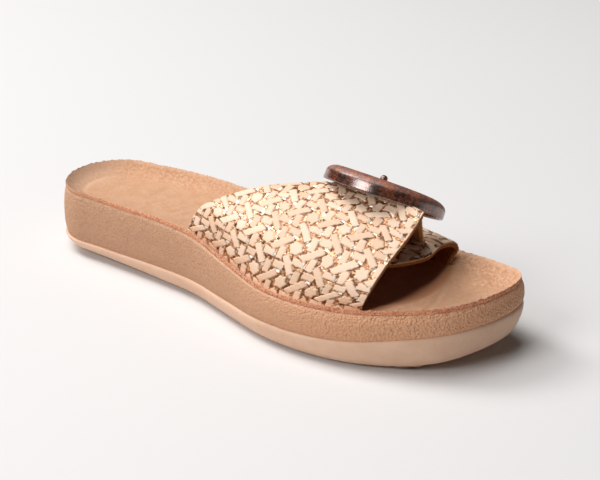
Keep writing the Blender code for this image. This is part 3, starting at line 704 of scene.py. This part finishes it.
WEAVE = (
    ("across", "down", "turn", "long", "wide", "skew", "rise", "round"),
    (0.00, 0.00, 8.0, 0.36, 0.36, 0.0, 0.44, 1),
    (0.50, 0.00, -41.5, 0.64, 0.205, 0.33, 0.50, 0),
    (0.00, 0.50, 48.0, 0.58, 0.205, 0.0, 0.50, 0),
    (0.626, 0.250, 90.0, 0.36, 0.205, 0.0, 0.36, 0),
    (0.382, 0.741, 90.0, 0.36, 0.205, 0.0, 0.36, 0),
    (0.240, 0.340, 0.0, 0.34, 0.205, 0.0, 0.36, 0),
    (0.716, 0.592, 0.0, 0.34, 0.205, 0.0, 0.36, 0),
)
# Painted highlights: pale ovals of foil between the strips, placed in repeats.
GLINTS = (
    ("across", "down", "wide", "tall"),
    (0.440, 0.375, 0.10, 0.15),
    (0.790, 0.740, 0.13, 0.08),
    (0.225, 0.770, 0.09, 0.11),
)
STRIP_SLOPE = 0.34
STRIP_RAMP = 1.3
STRIP_CROWN = 0.04
STRIP_JAG = 0.26
JAG_SIZES = (1.1, 1.5, 2.1, 3.3)
STRIP_TOP = 0.25
PRINT_SOFT = 0.2
KNOT_NOTCHES = 6
KNOT_NOTCH = 0.10
KNOT_JAG = 1.5
# Painted shade beside the strips fades over this distance.
STRIP_SHADE_FALL = 0.45
TONE_STEPS = (12.99, 78.23, 37.7)
TONE_SPREAD = 43758.5
WEAVE_WOBBLE = 0.025
WOBBLE_SIZES = (14.0, 19.0, 27.0)
WEAVE_UNEVEN = 0.04
UNEVEN_SIZES = (2.0, 2.9, 4.1)
EDGE_FRAY = 0.22
EDGE_FRAY_SIZES = (0.8, 1.2, 1.9, 3.0)
EDGE_DEPTHS = (0.25, 0.7, 1.2, 1.7, 2.1)
CREAM = (235, 201, 172)
CREAM_PALE = (240, 208, 181)
CREAM_WORN = (226, 187, 155)
FOIL_GOLD = (226, 176, 126)
FOIL_TAN = (202, 148, 106)
FOIL_BROWN = (140, 88, 52)
FOIL_DARK = (84, 52, 34)
FOIL_PALE = (255, 243, 228)
EDGE_PALE = (226, 190, 152)
EDGE_BROWN = (166, 114, 68)
EDGE_DARK = (104, 66, 36)
LINING = (176, 108, 54)
LINING_DARK = (132, 76, 34)


def strap_curves(strap, share):
    """A strap's rows at shares across from rear to front: leg end, footbed line, arched rows, and tail."""
    base = foot_curve(strap["foot"], strap["inner_side"], share)
    curves = [base - np.array([0.0, 0.0, LEG_DEPTH]), base]
    rows = columns(strap["rows"])
    arch = (4 * share * (1 - share))[:, None]
    for row in range(len(rows["rear_x"])):
        rear = np.array([rows["rear_x"][row], rows["rear_y"][row], rows["rear_z"][row]])
        front = np.array([rows["front_x"][row], rows["front_y"][row], rows["front_z"][row]])
        crown = np.array([0.0, rows["crown_y"][row], rows["crown_z"][row]])
        curves.append(rear + (front - rear) * share[:, None] + crown * arch)
    if strap["tail"] is not None:
        curves.append(strap["tail"](share))
    return np.stack(curves)


def strap_surface(strap, share, row):
    """Grid of points on a strap's outer face, rows by shares: cubic curves through its rows."""
    curves = strap_curves(strap, share)
    return smooth(np.arange(len(curves)), curves, row)


def strap_normals(points, inner_side):
    """Outward directions of a strap's grid, from the cross product of its two directions."""
    across = np.gradient(points, axis=1)
    upward = np.gradient(points, axis=0)
    normal = np.cross(across, upward) * (-1.0 if inner_side else 1.0)
    return normal / np.linalg.norm(normal, axis=-1)[..., None]


MEDIAL = {"foot": MEDIAL_FOOT, "inner_side": True, "rows": MEDIAL_ROWS, "tail": None}


def tail_line(share):
    """End of the outer strap, sunk a little into the inner strap's outer face."""
    first, last, row = TAIL_LINE
    across = first + (last - first) * share
    points = strap_surface(MEDIAL, across, row + np.array([-0.01, 0.0, 0.01]))
    return points[1] - TAIL_SINK * strap_normals(points, True)[1]


LATERAL = {"foot": LATERAL_FOOT, "inner_side": False, "rows": LATERAL_ROWS, "tail": tail_line}


def flat_places(points):
    """The strap laid out flat, in millimetres: back from the front edge, and length up its middle line."""
    middle = points[:, points.shape[1] // 2]
    steps = np.linalg.norm(np.diff(middle, axis=0), axis=1)
    length = np.concatenate([[0.0], np.cumsum(steps)])[:, None]
    width = np.linalg.norm(points[:, -1] - points[:, 0], axis=1)[:, None]
    share = np.linspace(0, 1, points.shape[1])[None, :]
    return -width * (1 - share), np.broadcast_to(length, (len(points), points.shape[1]))


def weave(across, down):
    """Height, cream colour, tone, painted shade and painted highlights of the cane weave at places counted in
    repeats.

    Each strip is a bar that keeps its full height inside its outline, falls over a short slope at its
    sides and over a longer ramp at its ends, where the foil shows; the highest strip counts. A round
    knot is a disc with six notches. All outlines are jagged by small waves. The tone is one chance
    value for each strip. Painted shade beside the strips fades with the distance from the nearest strip.
    A glint is a painted highlight: a small oval of foil between strips, painted pale.
    """
    chart = columns(WEAVE)
    height = np.zeros_like(across)
    cream = np.zeros_like(across)
    tone = np.zeros_like(across)
    nearest = np.full_like(across, REPEAT)
    jag = STRIP_JAG * waves(across * REPEAT, down * REPEAT, sizes=JAG_SIZES, seed=8)
    step_x, step_y, step_strip = TONE_STEPS
    for strip in range(len(chart["turn"])):
        x = across - chart["across"][strip]
        y = down - chart["down"][strip]
        chance = np.sin(np.round(x) * step_x + np.round(y) * step_y + strip * step_strip) * TONE_SPREAD
        x = (x - np.round(x)) * REPEAT
        y = (y - np.round(y)) * REPEAT
        turn = math.radians(chart["turn"][strip])
        aside = y * math.cos(turn) - x * math.sin(turn)
        along = x * math.cos(turn) + y * math.sin(turn) - chart["skew"][strip] * aside
        half = chart["wide"][strip] * REPEAT / 2
        side = half - np.abs(aside) + jag
        end = chart["long"][strip] * REPEAT / 2 - np.abs(along) + jag
        if chart["round"][strip]:
            notch = 1 + KNOT_NOTCH * np.cos(KNOT_NOTCHES * np.arctan2(aside, along))
            side = end = half * notch - np.hypot(aside, along) + KNOT_JAG * jag
            ramp = soft_step(end / STRIP_SLOPE + 0.5)
        else:
            ramp = soft_step(1 + end / STRIP_RAMP)
        crown = 1 - STRIP_CROWN * (aside / half) ** 2
        rise = chart["rise"][strip] * soft_step(side / STRIP_SLOPE + 0.5) * ramp * crown
        printed = soft_step(np.minimum(side, end) / PRINT_SOFT + 0.5)
        tone = np.where((rise >= height) & (printed > 0), chance - np.floor(chance), tone)
        cream = np.where(rise >= height, np.maximum(printed, cream * (height > STRIP_TOP)), cream)
        # painted shade mark: how far a place lies outside the nearest strip
        nearest = np.minimum(nearest, np.clip(-np.minimum(side, end), 0, None))
        height = np.maximum(height, rise)
    # painted highlights: pale ovals on the foil between strips
    spots = columns(GLINTS)
    glint = np.zeros_like(across)
    for spot in range(len(spots["wide"])):
        x = across - spots["across"][spot]
        y = down - spots["down"][spot]
        x = (x - np.round(x)) * 2 / spots["wide"][spot]
        y = (y - np.round(y)) * 2 / spots["tall"][spot]
        glint = np.maximum(glint, soft_step(2.5 - 2 * np.hypot(x, y)))
    return height, cream, tone, np.exp(-nearest / STRIP_SHADE_FALL) * (1 - cream), glint * (1 - cream)


def strap_mesh(strap, grid, start):
    """Points, faces, face finishes and marks of one strap.

    The woven outer face is a fine grid. The raw edge goes round its border in thin laps, and the plain
    lining is a coarser grid whose border takes every sixth point of the last lap.
    """
    rows, spans = grid
    share = np.linspace(0, 1, spans + 1)
    count = len(columns(strap["rows"])["rear_x"]) + 2 + (strap["tail"] is not None)
    fine = np.linspace(0, 1, 2000) * (count - 1 - FOOT_ROW) + FOOT_ROW
    middle = strap_surface(strap, np.array([0.49, 0.5, 0.51]), fine)[:, 1]
    length = np.concatenate([[0.0], np.cumsum(np.linalg.norm(np.diff(middle, axis=0), axis=1))])
    row = np.interp(np.linspace(0, length[-1], rows + 1), length, fine)
    face = strap_surface(strap, share, row)
    normal = strap_normals(face, strap["inner_side"])
    back, up = flat_places(face)
    up = up + LEG_DEPTH * FOOT_ROW
    lay = columns(WEAVE_LAY)
    line = np.interp(up, lay["length"], lay["line"])
    shift = smooth(lay["length"], lay["shift"], up)
    wobble = WEAVE_WOBBLE * waves(back, up, sizes=WOBBLE_SIZES, seed=3)
    across = (back - start - shift) / REPEAT + wobble
    height, cream, tone, strip_shade, glint = weave(across, -line + wobble[::-1])
    height = height + WEAVE_UNEVEN * waves(back, up, sizes=UNEVEN_SIZES, seed=12)
    outer = face + normal * height[..., None]

    number = np.arange(outer.shape[0] * outer.shape[1]).reshape(outer.shape[:2])
    border = np.concatenate([number[0, :-1], number[:-1, -1], number[-1, :0:-1], number[:0:-1, 0]])
    edge = face.reshape(-1, 3)[border]
    edge_normal = normal.reshape(-1, 3)[border]
    fray = EDGE_FRAY * waves(edge[:, 0], edge[:, 1], edge[:, 2], sizes=EDGE_FRAY_SIZES, seed=21)
    depths = np.array(EDGE_DEPTHS)
    side_way = edge - edge.mean(axis=0)
    side_way -= edge_normal * (side_way * edge_normal).sum(axis=1)[:, None]
    side_way /= np.linalg.norm(side_way, axis=1)[:, None]
    laps = np.stack([
        edge - edge_normal * depth + side_way * (fray * math.sin(math.pi * depth / STRAP_THICK))[:, None]
        for depth in depths
    ])
    coarse_face = face[::COARSE, ::COARSE]
    lining = coarse_face - normal[::COARSE, ::COARSE] * STRAP_THICK
    points = np.concatenate([outer.reshape(-1, 3), laps.reshape(-1, 3), lining.reshape(-1, 3)])

    faces = grid_faces(outer.shape[0], outer.shape[1], False).tolist()
    finishes = [0] * len(faces)
    lap_start = outer.shape[0] * outer.shape[1]
    lap_number = lap_start + np.arange(len(depths) * len(border)).reshape(len(depths), -1)
    ring = np.concatenate([border[None], lap_number])
    ring = np.concatenate([ring, ring[:, :1]], axis=1)
    walls = np.stack([ring[:-1, 1:], ring[:-1, :-1], ring[1:, :-1], ring[1:, 1:]], axis=-1).reshape(-1, 4)
    faces += walls.tolist()
    finishes += [1] * len(walls)
    lining_start = lap_start + len(depths) * len(border)
    lining_number = lining_start + np.arange(lining.shape[0] * lining.shape[1]).reshape(lining.shape[:2])
    under = grid_faces(lining.shape[0], lining.shape[1], False)[:, ::-1] + lining_start
    faces += under.tolist()
    finishes += [2] * len(under)
    rim = np.concatenate([
        lining_number[0, :-1], lining_number[:-1, -1], lining_number[-1, :0:-1], lining_number[:0:-1, 0],
    ])
    last = ring[-1]
    for place in range(len(rim)):
        fine_side = last[place * COARSE:(place + 1) * COARSE + 1][::-1].tolist()
        faces.append(fine_side + [int(rim[place]), int(rim[(place + 1) % len(rim)])])
        finishes.append(1)
    blank = len(points) - lap_start
    woven = {"cream": cream, "tone": tone, "strip_shade": strip_shade, "glint": glint}
    marks = {mark: np.concatenate([values.ravel(), np.zeros(blank)]) for mark, values in woven.items()}
    marks["depth"] = np.concatenate([
        np.zeros(lap_start), np.repeat(depths / STRAP_THICK, len(border)), np.ones(lining_number.size),
    ])
    return points, faces, finishes, marks


def weave_finish():
    """Cream print on the strips, each its own tone, and foil between them: crinkled facets painted from dark
    through tan and gold to pale as painted reflections, with painted brown shade beside the strips and
    painted highlights at the glints."""
    finish = Finish("strap_weave")
    cream = finish.mark("cream")
    glint = finish.mark("glint")
    printed = finish.ramp(finish.mark("tone"), ((0.0, CREAM_WORN), (0.45, CREAM), (1.0, CREAM_PALE)))
    scuff = finish.ramp(finish.noise(1.1, 4.0, 0.7), ((0.30, 0.5), (0.42, 0.0)))
    printed = finish.mix(scuff, printed, tint(CREAM_WORN))
    # painted reflections: the foil's crinkled facets are painted in tones from dark to pale, in place of the
    # surroundings they would mirror
    facets = finish.cells(1.2, "F1", output="Color")
    reflection_mottle = finish.sum("MULTIPLY", finish.noise(1.0), 0.5)
    tone = finish.sum("ADD", finish.sum("MULTIPLY", facets, 0.5), reflection_mottle)
    foil = finish.ramp(tone, (
        (0.30, FOIL_DARK), (0.42, FOIL_BROWN), (0.56, FOIL_TAN), (0.68, FOIL_GOLD), (0.80, FOIL_PALE)))
    shade_brown = finish.ramp(finish.noise(0.8, 3.0), ((0.35, FOIL_DARK), (0.58, FOIL_BROWN)))
    # painted shade: brown on the foil beside the strips
    strip_shade = finish.ramp(finish.mark("strip_shade"), ((0.25, 0.0), (0.8, 0.85)))
    foil = finish.mix(strip_shade, foil, shade_brown)
    # painted highlight: pale foil at the glints
    foil = finish.mix(finish.sum("MULTIPLY", glint, 0.85), foil, tint(FOIL_PALE))
    colour = finish.mix(cream, foil, printed)
    metal = finish.ramp(cream, ((0.2, 0.3), (0.8, 0.0)))
    gloss = finish.ramp(cream, ((0.2, 0.24), (0.8, 0.56)))
    crinkle = finish.mix(cream, facets, finish.noise(0.6, 3.0))
    depth = finish.ramp(cream, ((0.2, 0.45), (0.8, 0.08)))
    height = finish.mix(1.0, crinkle, depth, "MULTIPLY")
    return finish.set(Base_Color=colour, Metallic=metal, Roughness=gloss, Normal=finish.bump(height, 0.3))


def edge_finish():
    """Raw cut edge of strap leather: the pale printed layer on top, then brown fibres."""
    finish = Finish("strap_edge", Roughness=0.85, Specular_IOR_Level=0.2)
    fibre = finish.noise(0.6, 4.0, 0.7)
    colour = finish.ramp(fibre, ((0.34, EDGE_DARK), (0.6, EDGE_BROWN)))
    top = finish.ramp(finish.mark("depth"), ((0.06, 0.8), (0.2, 0.0)))
    colour = finish.mix(top, colour, tint(EDGE_PALE))
    return finish.set(Base_Color=colour, Normal=finish.bump(fibre, 0.2))


def lining_finish():
    """Brown suede lining with a short nap."""
    finish = Finish("strap_lining", Roughness=0.95, Specular_IOR_Level=0.1, Sheen_Weight=0.1)
    nap = finish.noise(0.8, 4.0, 0.7)
    cloud = finish.noise(7.0)
    colour = finish.mix(0.5, finish.ramp(nap, ((0.35, LINING_DARK), (0.6, LINING))),
                        finish.ramp(cloud, ((0.35, LINING_DARK), (0.6, LINING))))
    return finish.set(Base_Color=colour, Normal=finish.bump(nap, 0.2))


strap_finishes = [weave_finish(), edge_finish(), lining_finish()]
for name, strap, grid, start in (
    ("strap_outer", LATERAL, LATERAL_GRID, LATERAL_START),
    ("strap_inner", MEDIAL, MEDIAL_GRID, MEDIAL_START),
):
    points, faces, finishes, marks = strap_mesh(strap, grid, start)
    piece = make_piece(name, points, faces, marks, 180)
    place_piece(piece, strap_finishes, "upper")
    piece.data.polygons.foreach_set("material_index", np.array(finishes, np.int32))

# Buckle: a cast round frame, hollow under its crown, with a bar across its middle, plated in antique
# copper that is dark in the hollows and worn bright on the edges. It sits on the straps' crossing.
RING_CENTRE = np.array([175.3, 12.6, 58.5])
RING_LEAN = 31.5
RING_PITCH = 5.2
RING_RADIUS = 28.2
RING_BEND = 400.0
RING_SIDES = 192
RING_PROFILE = (
    ("inset", "height", "worn"),
    (-0.4, -2.6, 0.2),
    (-0.5, -0.9, 0.1),
    (-0.3, 0.9, 0.72),
    (0.9, 2.5, 0.9),
    (3.5, 3.6, 0.9),
    (6.2, 3.3, 0.75),
    (7.6, 2.2, 0.85),
    (6.6, 1.7, 0.2),
    (4.0, 2.0, 0.0),
    (2.2, 0.7, 0.0),
    (1.6, -0.8, 0.0),
    (1.5, -2.6, 0.6),
)
PROFILE_STEPS = 6
RIM_DROP = 1.5
BAR_RADIUS = 1.6
BAR_HEIGHT = -1.0
BAR_SHORT = 0.6
BAR_SIDES = 28
WORN_FALL = 4.0
COPPER = (176, 98, 64)
COPPER_DEEP = (118, 66, 46)
PATINA = (52, 32, 25)


def buckle_frame(points):
    """Buckle's own axes (along, back, up), bent over the instep, leaned to the inner side and pitched."""
    lean = math.radians(RING_LEAN)
    pitch = math.radians(RING_PITCH)
    along, back, up = np.moveaxis(np.asarray(points, float), -1, 0)
    up = up - back ** 2 / (2 * RING_BEND)
    y = back * math.cos(lean) + up * math.sin(lean)
    z = -back * math.sin(lean) + up * math.cos(lean)
    x = along * math.cos(pitch) + z * math.sin(pitch)
    z = -along * math.sin(pitch) + z * math.cos(pitch)
    return np.stack([x, y, z], axis=-1) + RING_CENTRE


def ring_grid():
    """The frame: its closed profile, a smooth curve through the table, carried round a circle; its lower
    rim drops a little further on the outer side, towards the strap that falls away there."""
    table = columns(RING_PROFILE)
    count = len(table["inset"])
    knots = np.arange(-2, count + 3)
    at = np.arange(count * PROFILE_STEPS) / PROFILE_STEPS
    names = ("inset", "height", "worn")
    inset, height, worn = (smooth(knots, table[name][knots % count], at) for name in names)
    angle = np.arange(RING_SIDES)[:, None] * 2 * np.pi / RING_SIDES
    radius = RING_RADIUS - inset
    low = soft_step((height.max() / 4 - height) / (height.max() / 4 - height.min()))
    height = height - RIM_DROP * low * (1 - np.sin(angle)) / 2
    points = np.stack([np.cos(angle) * radius, np.sin(angle) * radius, height], axis=-1)
    return buckle_frame(points), np.broadcast_to(np.clip(worn, 0, 1) ** WORN_FALL, points.shape[:2])


def tube_grid(centres, radii, first_way, second_way):
    """Loops of a round bar through centres, in the buckle's axes; its ends are drawn in to points."""
    angle = np.arange(BAR_SIDES) * 2 * np.pi / BAR_SIDES
    circle = np.cos(angle)[:, None] * first_way + np.sin(angle)[:, None] * second_way
    loops = np.asarray(centres)[:, None, :] + circle * np.asarray(radii)[:, None, None]
    return buckle_frame(loops)


def copper_finish():
    """Antique copper plate: glossy dark patina broken by speckled copper, matt copper where it is brushed."""
    finish = Finish("buckle_copper", Metallic=0.3, IOR=2.4)
    speckle = finish.noise(1.2, 5.0, 0.75)
    cloud = finish.noise(6.0, 3.0)
    worn = finish.mark("worn")
    amount = finish.sum("ADD", finish.sum("MULTIPLY", speckle, 1.1), finish.sum("MULTIPLY", cloud, 0.5))
    amount = finish.sum("ADD", amount, finish.sum("MULTIPLY", worn, 0.2))
    colour = finish.ramp(amount, ((0.70, PATINA), (0.86, COPPER_DEEP), (1.0, COPPER)))
    gloss = finish.ramp(worn, ((0.0, 0.2), (0.4, 0.65)))
    return finish.set(Base_Color=colour, Roughness=gloss, Normal=finish.bump(speckle, 0.04))


def close_ring(name, points, worn):
    """Points, faces and marks of a grid that is closed in both directions."""
    around = np.concatenate([points, points[:1]])
    again = np.concatenate([worn, worn[:1]])
    faces = grid_faces(around.shape[0], around.shape[1], True)
    return make_piece(name, around, faces, {"worn": again}, 40)


copper = copper_finish()
ring = close_ring("buckle_frame", *ring_grid())
place_piece(ring, [copper], "buckle_ring")
reach = RING_RADIUS - BAR_SHORT
bar_points = tube_grid(
    [(-reach, 0, BAR_HEIGHT), (-reach, 0, BAR_HEIGHT), (reach, 0, BAR_HEIGHT), (reach, 0, BAR_HEIGHT)],
    (0.0, BAR_RADIUS, BAR_RADIUS, 0.0), np.array([0.0, 1.0, 0.0]), np.array([0.0, 0.0, 1.0]))
bar = make_piece("buckle_bar", bar_points, grid_faces(len(bar_points), BAR_SIDES, True),
                 {"worn": np.full(bar_points.shape[:2], 0.4)}, 40)
place_piece(bar, [copper], "buckle_ring")

# Prong: a bent pin of the same copper, rolled round the bar at its root and with a small ball at its
# tip, which stands up at the inner edge of the frame's crown.
PRONG_X = 5.8
PRONG_RADIUS = 1.3
PRONG_BALL = 1.7
SLEEVE_WALL = 1.1
SLEEVE_LENGTH = 4.0
PRONG_PATH = (
    ("back", "height"),
    (2.2, 0.3),
    (8.5, 0.7),
    (13.5, 1.4),
    (16.2, 2.2),
    (17.7, 3.2),
    (18.4, 4.1),
)
PRONG_STEPS = 40
PRONG_GAP = 0.3


def prong_grid():
    """The pin: a circle carried along a smooth curve through the path."""
    path = columns(PRONG_PATH)
    knots = np.arange(len(path["back"]))
    at = np.linspace(0, knots[-1], PRONG_STEPS)
    back = smooth(knots, path["back"], at)
    height = smooth(knots, path["height"], at)
    centres = np.stack([np.full_like(back, PRONG_X), -back, height], axis=-1)
    ahead = np.gradient(centres, axis=0)
    ahead /= np.linalg.norm(ahead, axis=1)[:, None]
    aside = np.array([1.0, 0.0, 0.0])
    upward = np.cross(aside, ahead)
    angle = np.arange(BAR_SIDES) * 2 * np.pi / BAR_SIDES
    circle = np.cos(angle)[:, None] * aside + np.sin(angle)[:, None] * upward[:, None, :]
    radii = np.full(PRONG_STEPS, PRONG_RADIUS)
    radii[[0, -1]] = 0.0
    return buckle_frame(centres[:, None, :] + circle * radii[:, None, None])


def ball_grid():
    """The tip: half circles turned about the buckle's along axis."""
    turn = np.linspace(0, np.pi, 24)
    path = columns(PRONG_PATH)
    centre = np.array([PRONG_X, -path["back"][-1], path["height"][-1]])
    centres = centre - np.cos(turn)[:, None] * np.array([PRONG_BALL, 0.0, 0.0])
    return tube_grid(centres, np.sin(turn) * PRONG_BALL, np.array([0.0, 1.0, 0.0]), np.array([0.0, 0.0, 1.0]))


def sleeve_grid():
    """The root: a short pipe round the bar, out along its outside and back through its bore."""
    hole = BAR_RADIUS + PRONG_GAP
    half = SLEEVE_LENGTH / 2
    ends = [PRONG_X - half, PRONG_X + half, PRONG_X + half, PRONG_X - half, PRONG_X - half]
    radii = [hole + SLEEVE_WALL, hole + SLEEVE_WALL, hole, hole, hole + SLEEVE_WALL]
    centres = [(end, 0.0, BAR_HEIGHT) for end in ends]
    return tube_grid(centres, radii, np.array([0.0, 1.0, 0.0]), np.array([0.0, 0.0, 1.0]))


for name, grid, worn in (
    ("prong_pin", prong_grid(), 0.35),
    ("prong_ball", ball_grid(), 0.05),
    ("prong_sleeve", sleeve_grid(), 0.3),
):
    piece = make_piece(name, grid, grid_faces(len(grid), BAR_SIDES, True),
                       {"worn": np.full(grid.shape[:2], worn)}, 40)
    place_piece(piece, [copper], "buckle_prong")

# Stage: plain pale floor, a soft light high at the left, a larger one overhead, one in front on the left
# whose reflection lies on the buckle's wall, and the photo's camera.
CAMERA_AT = (0.33714, -0.47443, 0.29172)
CAMERA_TURN = 33.843
CAMERA_DOWN = 24.421
LENS = 81.125
FLOOR_HALF = 6.0
FLOOR_COLOUR = (219, 217, 216)


def make_light(name, at, target, wide, tall, power):
    """A soft light, wide by tall, that faces a target."""
    lamp = bpy.data.lights.new(name, "AREA")
    lamp.shape = "RECTANGLE"
    lamp.size = wide
    lamp.size_y = tall
    lamp.energy = power
    holder = bpy.data.objects.new(name, lamp)
    bpy.context.scene.collection.objects.link(holder)
    holder.location = at
    way = np.array(target) - np.array(at)
    flat = math.hypot(way[0], way[1])
    holder.rotation_euler = (math.atan2(flat, -way[2]), 0.0, math.atan2(-way[0], way[1]))


floor_mesh = bpy.data.meshes.new("floor")
corners = [(-FLOOR_HALF, -FLOOR_HALF, 0), (FLOOR_HALF, -FLOOR_HALF, 0), (FLOOR_HALF, FLOOR_HALF, 0),
           (-FLOOR_HALF, FLOOR_HALF, 0)]
floor_mesh.from_pydata(corners, [], [(0, 1, 2, 3)])
floor = bpy.data.objects.new("floor", floor_mesh)
bpy.context.scene.collection.objects.link(floor)
floor_mesh.materials.append(Finish("floor_paper", Roughness=0.9, Specular_IOR_Level=0.1,
                                   Base_Color=tint(FLOOR_COLOUR)).material)

for name, at, wide, tall, power in (
    ("high_left", (-1.6, -0.1, 1.8), 0.9, 0.9, 34.0),
    ("overhead", (-0.5, -0.1, 2.2), 1.4, 1.4, 32.0),
    ("front_left", (-0.5, -1.5, 1.15), 0.9, 0.8, 17.0),
):
    make_light(name, at, (0.0, 0.0, 0.03), wide, tall, power)
world = bpy.data.worlds.new("studio")
world.use_nodes = True
world.node_tree.nodes["Background"].inputs["Color"].default_value = (1.0, 1.0, 1.0, 1.0)
world.node_tree.nodes["Background"].inputs["Strength"].default_value = 0.04
bpy.context.scene.world = world
bpy.context.scene.view_settings.view_transform = "Standard"

camera_data = bpy.data.cameras.new("camera")
camera_data.sensor_width = 36.0
camera_data.lens = LENS
camera = bpy.data.objects.new("camera", camera_data)
camera.location = CAMERA_AT
camera.rotation_euler = (math.radians(90 - CAMERA_DOWN), 0.0, math.radians(CAMERA_TURN))
bpy.context.scene.collection.objects.link(camera)
bpy.context.scene.camera = camera

bpy.context.view_layer.update()
